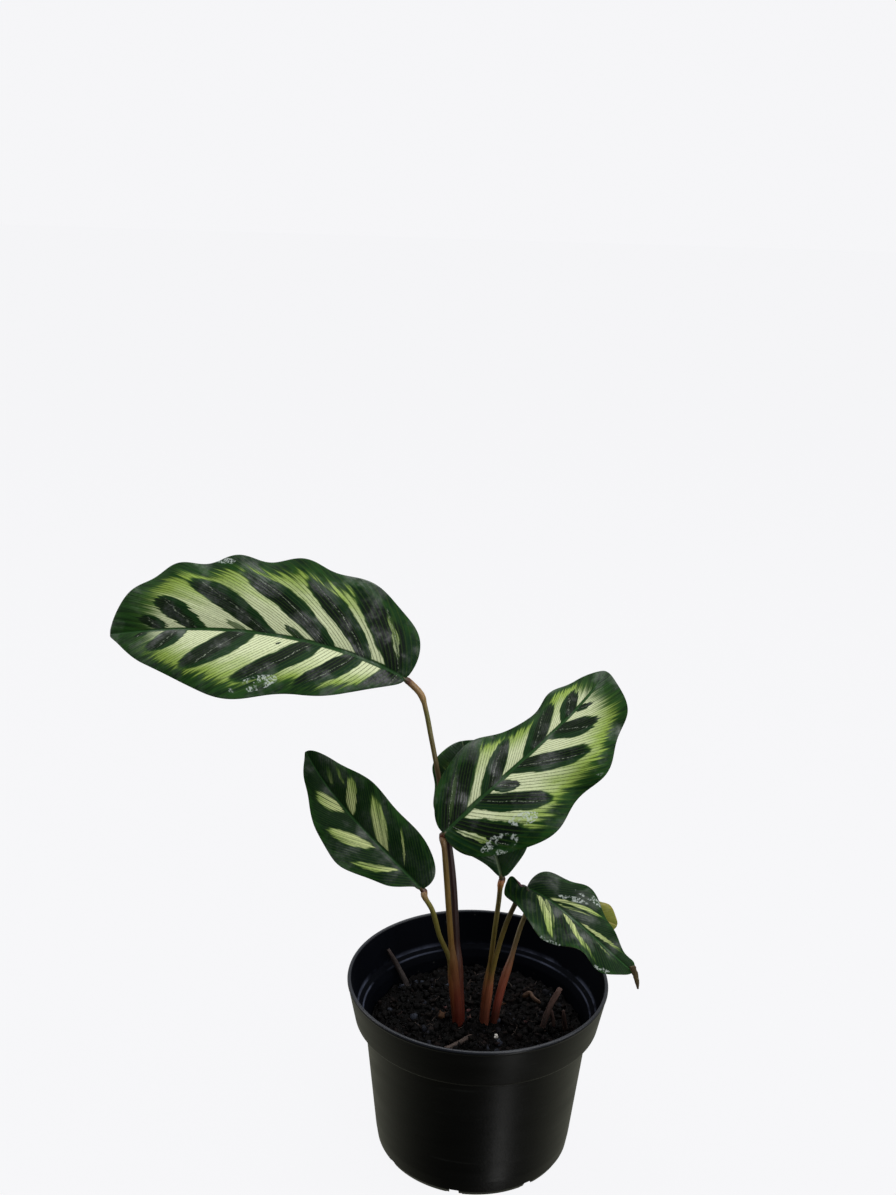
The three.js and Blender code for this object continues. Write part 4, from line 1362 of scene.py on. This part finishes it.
@dataclass(frozen=True)
class Pot:
    """The thrown-away kind of nursery pot: one thin moulded shell, open at the top, with drain slots."""

    outside: tuple[tuple[float, float], ...] = (
        (0, 0), (12, 0), (13.2, 2), (29.3, 2), (30.5, 0), (34.5, 0), (36.2, 0.9), (37.4, 3), (38.2, 8),
        (43.2, 55), (46.3, 55.6), (46.9, 56.3), (49.7, 70.4), (50, 71), (49.7, 72))
    inside: tuple[tuple[float, float], ...] = (
        (48.8, 72), (48.4, 71.2), (46, 58.4), (43.6, 57.2), (42.2, 54.2), (37.2, 8), (36, 3.6), (34.5, 1.4),
        (30.9, 1.4), (29.7, 3.4), (12.8, 3.4), (11.6, 1.4), (0, 1.4))
    fillet: float = 0.35
    fillet_share: float = 0.45
    steps: int = 160
    slots: int = 8
    slot_size: Point = (12.0, 6.0, 6.4)
    slot_corner: float = 1.2
    slot_reach: float = 31.6
    slot_turn: float = -54.0

    def profile(self) -> list[Vector]:
        """Returns the wall's section with every corner rounded."""
        corners = [Vector((radius, 0, height)) for radius, height in (*self.outside, *self.inside)]
        line = [corners[0]]
        for before, corner, after in zip(corners, corners[1:], corners[2:]):
            start, end = (corner + way.normalized() * min(self.fillet, way.length * self.fillet_share)
                          for way in (before - corner, after - corner))
            for t in (0.0, 0.33, 0.67, 1.0):
                line.append(start * (1 - t) ** 2 + corner * (2 * t * (1 - t)) + end * t ** 2)
        return [*line, corners[-1]]

    def shell(self) -> bpy.types.Mesh:
        """Returns the shell without its slots."""
        bm = bmesh.new()
        verts = [bm.verts.new(point * MM) for point in self.profile()]
        edges = [bm.edges.new(pair) for pair in zip(verts, verts[1:])]
        bmesh.ops.spin(bm, geom=[*verts, *edges], axis=(0, 0, 1), cent=(0, 0, 0), angle=FULL_TURN,
                       steps=self.steps, use_merge=True)
        bmesh.ops.remove_doubles(bm, verts=bm.verts, dist=1e-6)
        bmesh.ops.recalc_face_normals(bm, faces=bm.faces)
        return mesh_of(bm, "shell")

    def cutters(self) -> bpy.types.Mesh:
        """Returns the blocks that the drain slots are cut with."""
        bm = bmesh.new()
        size = Matrix.Diagonal((*(mm(side) for side in self.slot_size), 1))
        for slot in range(self.slots):
            turn = math.radians(self.slot_turn) + FULL_TURN * slot / self.slots
            place = Matrix.Rotation(turn, 4, "Z") @ Matrix.Translation((mm(self.slot_reach), 0, 0))
            block = bmesh.ops.create_cube(bm, size=1, matrix=place @ size)
            upright = {edge for vert in block["verts"] for edge in vert.link_edges
                       if abs(edge.verts[0].co.z - edge.verts[1].co.z) > mm(0.1)}
            bmesh.ops.bevel(bm, geom=list(upright), offset=mm(self.slot_corner), segments=4, affect="EDGES")
        return mesh_of(bm, "slot_blocks")

    def add(self) -> None:
        """Adds the finished shell as one piece."""
        shell = combined(self.shell(), [self.cutters()], "DIFFERENCE")
        new_piece("pot_shell", shell, [PotFinish().material()], ["pot"])


# Soil

@dataclass(frozen=True)
class SoilFinish:
    """The bed's finish: damp near-black peat, darkened further as painted shade inside the pot, with grains
    and a little blue-grey grit that also stands for a painted wet sheen.
    """

    peat: Colour = srgb(3, 3, 3)
    light_peat: Colour = srgb(8, 6, 6)
    grit: Colour = srgb(52, 54, 62)
    gloss: float = 0.07

    def material(self) -> bpy.types.Material:
        """Builds the material."""
        material, wire, shader = new_material("damp potting soil")
        place = wire.place()
        cloud = place.noise(160.0, 4.0)
        grain = place.noise(900.0)
        colour = cloud.step(0.36, 0.66).mix(self.peat, self.light_peat)
        # Blue-grey specks: grit, with a painted wet sheen.
        colour = (place.cells(520.0).fall(0.1, 0.26) * 0.4).mix(colour, self.grit)
        wire.fill(shader, Base_Color=colour, Roughness=grain.span(0.55, 0.9), Specular_IOR_Level=self.gloss,
                  Normal=wire.bump(grain, 0.8, mm(0.5), wire.bump(cloud, 0.6, mm(1.2))))
        return material


@dataclass(frozen=True)
class TonedFinish:
    """The finish of scattered pieces, which takes each one's colour from its tone."""

    name: str
    stops: tuple[tuple[float, Colour], ...]
    smoothest: float
    shadow: Colour = srgb(6, 5, 5)
    gloss: float = 0.09

    def material(self) -> bpy.types.Material:
        """Builds the material."""
        material, wire, shader = new_material(self.name)
        tone = wire.output(wire.add("ShaderNodeAttribute", attribute_name="tone"), "Fac")
        grain = wire.place().noise(1100.0)
        colour = (grain.step(0.45, 0.7) * 0.5).mix(tone.ramp(self.stops), self.shadow)
        wire.fill(shader, Base_Color=colour, Roughness=grain.span(self.smoothest, 0.9),
                  Specular_IOR_Level=self.gloss, Normal=wire.bump(grain, 0.7, mm(0.4)))
        return material


@dataclass(frozen=True)
class StickFinish:
    """The finish of a dead stalk, a twig or bark: streaks along it, and another colour at its far end."""

    name: str
    light: Colour
    dark: Colour
    tip: Colour

    def material(self) -> bpy.types.Material:
        """Builds the material."""
        material, wire, shader = new_material(self.name)
        gone, turn, _ = wire.uv("round").parts()
        place = wire.place()
        streaks = wire.joined(gone * 16.0, turn * 13.0).noise(1.0)
        blotch = place.noise(330.0)
        colour = streaks.step(0.38, 0.66).mix(self.light, self.dark)
        colour = (blotch * 0.06 + gone).step(0.12, 0.24).mix(colour, self.tip)
        colour = (blotch.step(0.55, 0.7) * 0.5).mix(colour, self.dark)
        grooves = wire.bump(streaks, 0.7, mm(0.4))
        relief = wire.bump(place.noise(1500.0, 2.0), 0.4, mm(0.2), grooves)
        wire.fill(shader, Base_Color=colour, Roughness=blotch.span(0.6, 0.85), Normal=relief)
        return material


# The crumbs are darkened as painted shade inside the pot, over the peat's own near-black; their bluish top
# stops are grit with a painted wet sheen.
PEAT_CRUMBS = TonedFinish("peat crumbs", (
    (0, srgb(2, 2, 2)), (0.5, srgb(5, 4, 4)), (0.78, srgb(8, 6, 6)), (0.9, srgb(20, 12, 10)),
    (0.95, srgb(26, 27, 33)), (1, srgb(52, 56, 66))), 0.55)
BARK_AND_GRIT = TonedFinish("bark and grit", (
    (0, srgb(6, 5, 4)), (0.4, srgb(18, 12, 10)), (0.68, srgb(36, 28, 28)), (0.76, srgb(70, 46, 46)),
    (0.84, srgb(58, 40, 28)), (0.95, srgb(74, 52, 36))), 0.5)
PERLITE = TonedFinish("perlite", ((0, srgb(150, 146, 138)), (1, srgb(214, 210, 202))), 0.7)
ROOT_FIBRES = StickFinish("root fibres", srgb(62, 46, 38), srgb(30, 22, 19), srgb(76, 58, 48))


class Scatter:
    """Scatters small copies of shapes and joins them into one mesh, with a tone for each copy."""

    CHIP_SHAPE = Vector((1.0, 0.62, 0.32))

    def __init__(self, name: str, seed: int) -> None:
        """Starts an empty mesh.

        Args:
            name: the mesh's name.
            seed: the start of the random numbers.
        """
        self.name = name
        self.random = random.Random(seed)
        self.bm = bmesh.new()
        self.tone = self.bm.verts.layers.float.new("tone")

    def weathered(self, bm: bmesh.types.BMesh, roughness: float, grain: float) -> bpy.types.Mesh:
        """Returns a shape with its surface pushed in and out.

        Args:
            bm: the even shape.
            roughness: how far, as a share of its radius.
            grain: how fine the unevenness is.

        Returns:
            The uneven mesh.
        """
        offset = Vector((self.random.uniform(0, 90), 0, 0))
        for vert in bm.verts:
            vert.co *= 1 + roughness * noise.noise(vert.co / MM * grain + offset)
        return mesh_of(bm, "shape")

    def clod(self, roughness: float) -> bpy.types.Mesh:
        """Returns an uneven lump about 1 mm in radius."""
        bm = bmesh.new()
        bmesh.ops.create_icosphere(bm, subdivisions=2, radius=mm(1))
        return self.weathered(bm, roughness, 1.3)

    def chip(self) -> bpy.types.Mesh:
        """Returns a flat, worn splinter about 2 mm long."""
        bm = bmesh.new()
        bmesh.ops.create_cube(bm, size=mm(2))
        bmesh.ops.subdivide_edges(bm, edges=bm.edges, cuts=1, use_grid_fill=True)
        bmesh.ops.scale(bm, vec=self.CHIP_SHAPE, verts=bm.verts)
        return self.weathered(bm, 0.5, 1.7)

    def put(self, shape: bpy.types.Mesh, at: Vector, size: float, tone: float, tilt: float = math.pi) -> None:
        """Adds a copy of a shape.

        Args:
            shape: the mesh that is copied.
            at: where it goes, in millimetres.
            size: its scale.
            tone: the number from 0 to 1 that its finish takes its colour from.
            tilt: how far it may lean.
        """
        lean, dip = (Matrix.Rotation(self.random.uniform(-tilt, tilt), 4, axis) for axis in "XY")
        spin = Matrix.Rotation(self.random.uniform(0, FULL_TURN), 4, "Z")
        copy = shape.copy()
        copy.transform(Matrix.Translation(at * MM) @ lean @ dip @ spin
                       @ Matrix.Diagonal((size, size, size, 1)))
        before = len(self.bm.verts)
        self.bm.from_mesh(copy)
        bpy.data.meshes.remove(copy)
        self.bm.verts.ensure_lookup_table()
        for index in range(before, len(self.bm.verts)):
            self.bm.verts[index][self.tone] = tone

    def mesh(self) -> bpy.types.Mesh:
        """Returns all the copies as one mesh."""
        return mesh_of(self.bm, self.name)


@dataclass(frozen=True)
class Soil:
    """The potting soil: a lumpy bed with crumbs, bark chips and root fibres on it.

    Each of the lumps is a height and the waves that are multiplied for it: turns along x and y, in radians
    per millimetre, and a phase. Each of the clods is a noise's grain, layer and height. outline is the
    section of the bed's underside, and marked the chips that the photograph shows: place, size and tone.
    """

    level: float = 50.0
    brim: float = 41.15
    bank: float = 0.8
    edge_drop: float = 0.7
    body_top: float = 43.2
    rings: int = 124
    turns: int = 400
    lumps: tuple[tuple[float, tuple[Point, ...]], ...] = (
        (0.66, ((0.42, 0, 1.3), (0, 0.37, 0.97))), (0.4, ((0.83, -0.71, 2.0), )),
        (0.38, ((1.7, 0.9, 0), (-0.8, 1.3, 1.57))))
    clods: tuple[Point, ...] = ((0.28, 1.0, 1.0), (0.9, 5.0, 0.75), (2.6, 9.0, 0.32))
    outline: tuple[tuple[float, float], ...] = (
        (0, 1.9), (11, 1.9), (12.4, 3.9), (30.1, 3.9), (31.5, 1.9), (33.9, 1.9), (35.3, 3.8), (36.7, 8),
        (41.1, 49.2))
    crumb_count: int = 1500
    crumb_shapes: int = 6
    crumb_size: tuple[float, float] = (0.35, 1.5)
    chip_count: int = 150
    chip_shapes: int = 5
    chip_size: tuple[float, float] = (0.5, 1.5)
    marked: tuple[tuple[float, float, float, float], ...] = (
        (-13.5, 2.5, 1.7, 0.9), (-2.5, 3.4, 1.1, 0.8), (-3.1, 7.9, 0.9, 0.76), (-12, 10, 0.8, 0.76),
        (9.5, 13.5, 1.5, 0.84), (-30, 4, 1.1, 0.7), (-19, -6, 0.9, 0.72), (19, 3, 1.0, 0.74))
    fibre_count: int = 46
    fibre_radius: tuple[float, float] = (0.07, 0.16)
    fibre_reach: float = 38.0
    fibre_limit: float = 39.5
    fibre_step: float = 2.1

    def plain_height(self, x: float, y: float) -> float:
        """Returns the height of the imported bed's surface."""
        lumps = sum(height * math.prod(math.sin(a * x + b * y + phase) for a, b, phase in waves)
                    for height, waves in self.lumps)
        out = math.hypot(x, y) / self.body_top
        return self.level + lumps + self.bank * y / self.body_top - self.edge_drop * out ** 6

    def height(self, x: float, y: float) -> float:
        """Returns the height of the surface with its clods and grains."""
        return self.plain_height(x, y) + sum(noise.noise(Vector((x * grain, y * grain, layer))) * high
                                             for grain, layer, high in self.clods)

    def standing(self, path: Iterable[Point]) -> list[Point]:
        """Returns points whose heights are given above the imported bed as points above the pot's foot."""
        return [(x, y, self.plain_height(x, y) + height) for x, y, height in path]

    def spot(self, draw: random.Random, reach: float) -> Vector:
        """Returns a random place on the surface within a radius."""
        out, turn = reach * math.sqrt(draw.random()), draw.uniform(0, FULL_TURN)
        x, y = out * math.cos(turn), out * math.sin(turn)
        return Vector((x, y, self.height(x, y)))

    def bed(self) -> bpy.types.Mesh:
        """Returns the bed, from the middle of its underside round to the middle of its top."""
        rows = len(self.outline) - 1 + self.rings
        bm = bmesh.new()
        bmesh.ops.create_grid(bm, x_segments=rows, y_segments=self.turns, size=1)
        for vert in bm.verts:
            row, side = grid_place(vert.co, rows, self.turns)
            turn = FULL_TURN * side / self.turns
            on_top = row >= len(self.outline)
            radius, low = (self.brim * (rows - row) / (self.rings - 1), 0.0) if on_top else self.outline[row]
            x, y = radius * math.cos(turn), radius * math.sin(turn)
            vert.co = Vector((x, y, self.height(x, y) if on_top else low)) * MM
        bmesh.ops.remove_doubles(bm, verts=bm.verts, dist=1e-6)
        bmesh.ops.recalc_face_normals(bm, faces=bm.faces)
        return mesh_of(bm, "soil_bed")

    def crumbs(self) -> bpy.types.Mesh:
        """Returns the loose crumbs: many fine ones, fewer coarse ones."""
        scatter = Scatter("soil_crumbs", 7)
        shapes = [scatter.clod(0.9) for _ in range(self.crumb_shapes)]
        finest, coarsest = self.crumb_size
        for number in range(self.crumb_count):
            size = finest + (coarsest - finest) * scatter.random.random() ** 3
            at = self.spot(scatter.random, self.brim - 0.9 - size)
            at.z += 0.25 * size
            scatter.put(shapes[number % len(shapes)], at, size, scatter.random.random())
        return scatter.mesh()

    def chips(self) -> bpy.types.Mesh:
        """Returns the chips of bark and stone among the crumbs, with the few that stand out in front."""
        scatter = Scatter("soil_chips", 19)
        shapes = [scatter.chip() for _ in range(self.chip_shapes)]
        for number in range(self.chip_count):
            size = scatter.random.uniform(*self.chip_size)
            at = self.spot(scatter.random, self.brim - 3.5)
            at.z += 0.3 * size
            tone = 0.05 + 0.6 * scatter.random.random()
            scatter.put(shapes[number % len(shapes)], at, size, tone, tilt=0.6)
        for x, y, size, tone in self.marked:
            at = Vector((x, y, self.height(x, y) + 0.5 * size))
            scatter.put(shapes[0], at, size, tone, tilt=0.4)
        return scatter.mesh()

    def fibres(self) -> bpy.types.Mesh:
        """Returns the fine root fibres that lie over the crumbs."""
        draw = random.Random(31)
        bm = bmesh.new()
        for _ in range(self.fibre_count):
            x, y, _height = self.spot(draw, self.fibre_reach)
            way = draw.uniform(0, FULL_TURN)
            points = []
            for _step in range(draw.randint(3, 6)):
                if math.hypot(x, y) > self.fibre_limit:
                    break
                points.append((x, y, self.height(x, y) + draw.uniform(0.1, 0.9)))
                way += draw.uniform(-0.7, 0.7)
                x, y = x + self.fibre_step * math.cos(way), y + self.fibre_step * math.sin(way)
            if len(points) < 3:
                continue
            thickness = draw.uniform(*self.fibre_radius)
            thread = tube(*smooth_line(points, 0.7), lambda gone, turn, radius=thickness: radius, sides=5)
            bm.from_mesh(thread)
            bpy.data.meshes.remove(thread)
        return mesh_of(bm, "soil_fibres")

    def add(self) -> None:
        """Adds the bed and what lies loose on it."""
        new_piece("soil_bed", self.bed(), [SoilFinish().material()], ["soil"])
        for build, finish in ((self.crumbs, PEAT_CRUMBS), (self.chips, BARK_AND_GRIT),
                              (self.fibres, ROOT_FIBRES)):
            new_piece(f"soil_{build.__name__}", build(), [finish.material()])


SOIL = Soil()


# What lies and stands on the soil

@dataclass(frozen=True)
class Stick:
    """A dead stalk or a twig: points with heights above the soil, and its radius at both ends.

    Each of the grooves is a share of the radius and a noise's grain. torn is the length of the torn end, the
    share that is lost there, and the depth and the grain of its tears.
    """

    path: tuple[Point, ...]
    radius: tuple[float, float]
    seed: int = 0
    grooves: tuple[tuple[float, float], ...] = ((0.1, 1.6), (0.09, 4.0))
    torn: tuple[float, float, float, float] = (1.4, 0.35, 0.8, 2.3)
    thinnest: float = 0.12

    def build(self) -> bpy.types.Mesh:
        """Returns its mesh, knotted along its length and torn at its far end."""
        line, distance = smooth_line(SOIL.standing(self.path), 0.4)
        length = distance[-1]
        foot, end = self.radius
        reach, loss, tear, tear_grain = self.torn

        def radius(gone: float, turn: float) -> float:
            """Returns the radius at a distance from the foot and a turn round the stick."""
            plain = foot + (end - foot) * gone / length
            around = Vector((math.cos(turn), math.sin(turn), gone / 4 + self.seed))
            groove = sum(depth * noise.noise(around * grain) for depth, grain in self.grooves)
            lost = loss + tear * noise.noise(around * tear_grain)
            torn = smooth_step(gone, length - reach, length) * lost
            return plain * max(1 + groove - max(torn, 0.0), self.thinnest)

        return tube(line, distance, radius, sides=18)


@dataclass(frozen=True)
class DeadWood:
    """A dead stalk with its forks, or a twig."""

    name: str
    colours: tuple[Colour, Colour, Colour]
    sticks: tuple[Stick, ...]

    def add(self) -> None:
        """Adds it as one piece."""
        first, *forks = (stick.build() for stick in self.sticks)
        finish = StickFinish(f"{self.name} skin", *self.colours)
        new_piece(f"{self.name}_wood", combined(first, forks, "UNION"), [finish.material()],
                  [self.name])


@dataclass(frozen=True)
class Strip:
    """A short, flattened, ragged strip: the curl of bark or the dried tip of the lowest leaf.

    ragged is how far its surface strays, narrowing the share of the radius that is lost at the far end and
    the power it is lost by, and worn the share that is lost at both ends and along which length.
    """

    name: str
    path: tuple[Point, ...]
    radius: float
    squash: float
    finish: StickFinish
    slot: str
    sides: int
    ragged: float
    narrowing: tuple[float, float] = (0.0, 1.0)
    worn: tuple[float, float] = (0.0, 1.0)
    replaced: tuple[str, ...] = ()

    def add(self) -> None:
        """Adds it as one piece."""
        line, distance = smooth_line(self.path, 0.3)
        length = distance[-1]
        narrower, power = self.narrowing
        worn, reach = self.worn

        def radius(gone: float, turn: float) -> float:
            """Returns the radius at a distance from the start and a turn round the strip."""
            rags = noise.noise(Vector((math.cos(turn) * 2, math.sin(turn) * 2, gone)))
            ends = 1 - worn * (1 - smooth_step(min(gone, length - gone), 0.0, reach))
            return (self.radius + self.ragged * rags) * ends * (1 - narrower * (gone / length) ** power)

        mesh = tube(line, distance, radius, sides=self.sides, squash=self.squash)
        new_piece(self.name, mesh, [self.finish.material()], self.replaced)


DEAD = (srgb(36, 26, 23), srgb(20, 14, 12), srgb(44, 32, 29))
FRESH_DEAD = (srgb(68, 47, 40), srgb(36, 24, 21), srgb(92, 68, 60))
DRY_TWIG = (srgb(66, 50, 42), srgb(28, 21, 18), srgb(78, 60, 50))
DEAD_WOOD = (
    DeadWood("old_stalk_left", DEAD, (
        Stick(((-27.5, 23, -4), (-29.5, 24.5, 3), (-33, 26.5, 8.5), (-36.5, 25.5, 16)), (1.5, 0.8)), )),
    DeadWood("old_stalk_right", FRESH_DEAD, (
        Stick(((24.9, -1.8, -4), (26, -1, 2), (28.2, 0.8, 8), (32, 2.4, 15.5)), (1.2, 1.1), 3),
        Stick(((30.6, 0.2, -4), (29.9, 0.4, 2), (28.6, 0.9, 7.5)), (0.9, 0.7), 5))),
    DeadWood("old_stalk_small", FRESH_DEAD, (
        Stick(((34.8, -1, -4), (34.4, -1, 2), (33.4, -1.2, 9)), (1.1, 0.7), 7), )),
    DeadWood("fallen_twig", DRY_TWIG, (
        Stick(((-11, -18, 1), (-6.5, -14, 1), (-1.5, -8.5, 1.3)), (1.1, 0.8), 9), )),
)
BARK_CURL = Strip(
    "bark_curl_strip", tuple(SOIL.standing(((18.2, 18.6, 0.9), (21.3, 18.2, 3), (22.6, 15.5, 3.2),
                                            (25.6, 13.6, 0.9)))),
    radius=1.15, ragged=0.25, worn=(0.5, 1.5), squash=0.62, sides=20, slot="bark", replaced=("bark_curl", ),
    finish=StickFinish("pale bark", srgb(84, 58, 38), srgb(44, 30, 20), srgb(98, 70, 48)))
DRY_TIP = Strip(
    "leaf_5_dry_tip", ((55.8, -23.4, 93.0), (56.7, -24.0, 90.9), (57.8, -24.6, 87.4), (58.2, -25.0, 84.8)),
    radius=1.25, ragged=0.375, narrowing=(0.75, 2.2), squash=0.45, sides=18, slot="patterned_leaf",
    finish=StickFinish("dried leaf tip", srgb(92, 78, 44), srgb(50, 38, 26), srgb(82, 66, 50)))
PERLITE_SPOT = (7.9, -9.1, 0.9)
PERLITE_SIZE = 0.85


def add_perlite() -> None:
    """Adds the white grain of perlite."""
    grain = Scatter("perlite_grain", 3)
    (spot, ) = SOIL.standing([PERLITE_SPOT])
    grain.put(grain.clod(0.7), Vector(spot), PERLITE_SIZE, 1.0)
    new_piece("perlite_grain", grain.mesh(), [PERLITE.material()], ["perlite"])


# Studio

@dataclass(frozen=True)
class Lamp:
    """A soft light of the white studio: its place and its target in metres, its size, power and colour."""

    name: str
    at: Point
    target: Point
    size: tuple[float, float]
    power: float
    colour: Colour = (1.0, 1.0, 1.0)

    def add(self) -> None:
        """Adds the light."""
        light = bpy.data.lights.new(self.name, "AREA")
        light.shape = "RECTANGLE"
        light.size, light.size_y = self.size
        light.energy = self.power
        light.color = self.colour
        holder = new_object(self.name, light)
        holder.location = self.at
        holder.rotation_euler = (Vector(self.target) - holder.location).to_track_quat("-Z", "Y").to_euler()


LAMPS = (
    Lamp("overhead", (0.0, 0.25, 1.1), (0.0, 0.0, 0.1), (1.3, 1.0), 13.0),
    Lamp("front", (0.62, -0.95, 0.7), (0.0, 0.0, 0.12), (0.42, 0.8), 7.5),
    Lamp("low", (0.49, -0.73, -0.42), (0.0, 0.0, 0.05), (0.16, 0.8), 1.3, (1.0, 1.0, 0.98)),
    Lamp("left", (-1.0, 0.1, 0.45), (0.0, 0.0, 0.12), (0.5, 0.8), 3.0),
    Lamp("right", (1.0, -0.2, 0.5), (0.0, 0.0, 0.1), (0.4, 0.9), 3.5),
)


@dataclass(frozen=True)
class Camera:
    """The camera where the photograph was taken from: in front, above and very slightly turned.

    Its place is in metres and its angles are in degrees. The focal length and the picture's height are in
    the photograph's pixels.
    """

    at: Point = (0.0, -0.47270, 0.36609)
    yaw: float = -1.903
    pitch: float = 16.864
    roll: float = 1.692
    focal: float = 1400.0
    picture_height: float = 1195.0
    sensor: float = 36.0
    nearest: float = 0.01

    def add(self) -> None:
        """Adds the camera and looks through it."""
        yaw, pitch, roll = (math.radians(angle) for angle in (self.yaw, self.pitch, self.roll))
        way = Vector((math.sin(yaw) * math.cos(pitch), math.cos(yaw) * math.cos(pitch), -math.sin(pitch)))
        right = way.cross(Vector((0, 0, 1))).normalized()
        up = right.cross(way)
        rolled_right = right * math.cos(roll) + up * math.sin(roll)
        rolled_up = up * math.cos(roll) - right * math.sin(roll)
        camera = bpy.data.cameras.new("camera")
        camera.sensor_fit = "AUTO"
        camera.sensor_width = self.sensor
        camera.lens = self.sensor * self.focal / self.picture_height
        camera.clip_start = self.nearest
        holder = new_object("camera", camera)
        turned = Matrix((rolled_right, rolled_up, -way)).transposed().to_4x4()
        holder.matrix_world = Matrix.Translation(self.at) @ turned
        bpy.context.scene.camera = holder


@dataclass(frozen=True)
class WhiteRoom:
    """The plain surround: white walls, and a plain pale floor that glows faintly."""

    white: Colour = srgb(246, 246, 248)
    low_light: Colour = srgb(244, 246, 222)
    wall_strength: float = 0.998
    floor_strength: float = 0.985
    floor_grey: float = 0.016
    floor_reach: float = 8.0
    floor_height: float = -0.1

    def add_walls(self) -> None:
        """Sets a surround that the camera sees brighter than the plant does."""
        world = bpy.data.worlds.new("white room")
        world.use_nodes = True
        bpy.context.scene.world = world
        wire = Wiring(world.node_tree)
        seen = wire.output(wire.add("ShaderNodeLightPath"), "Is Camera Ray")
        _, depth, up = wire.place("Generated").parts()
        lit = depth.step(-0.5, 0.5).span(0.07, 0.5) * up.step(-0.4, 0.1).span(0.55, 1.0)
        colour = (seen | up.step(-0.35, 0.05)).mix(self.low_light, self.white)
        wire.fill(world.node_tree.nodes["Background"], Color=colour,
                  Strength=lit | seen * self.wall_strength)

    def add_floor(self) -> None:
        """Lays the floor, which casts no light or shadow on the plant."""
        bm = bmesh.new()
        bmesh.ops.create_grid(bm, x_segments=1, y_segments=1, size=self.floor_reach,
                              matrix=Matrix.Translation((0.0, 0.0, mm(self.floor_height))))
        mesh = mesh_of(bm, "floor")
        material, wire, shader = new_material("pale floor")
        wire.fill(shader, Base_Color=(self.floor_grey, ) * 3, Roughness=1.0, Specular_IOR_Level=0.0,
                  Emission_Color=self.white, Emission_Strength=self.floor_strength)
        mesh.materials.append(material)
        floor = new_object("floor", mesh)
        floor.visible_diffuse = False
        floor.visible_glossy = False
        floor.visible_shadow = False


def main() -> None:
    """Builds the plant's finished look, the studio and the camera."""
    logging.basicConfig(level=logging.INFO, format="%(message)s")
    effects = Effects(marking=marking_group(), lines=line_group(), specks=speck_group())
    for blade in BLADES:
        blade.add(effects)
    for piece in (DRY_TIP, *SHOOTS, Pot(), SOIL, *DEAD_WOOD, BARK_CURL):
        piece.add()
    add_perlite()
    room = WhiteRoom()
    room.add_walls()
    room.add_floor()
    for fitting in (Camera(), *LAMPS):
        fitting.add()
    bpy.context.scene.view_settings.view_transform = "Standard"


if __name__ == "__main__":
    main()
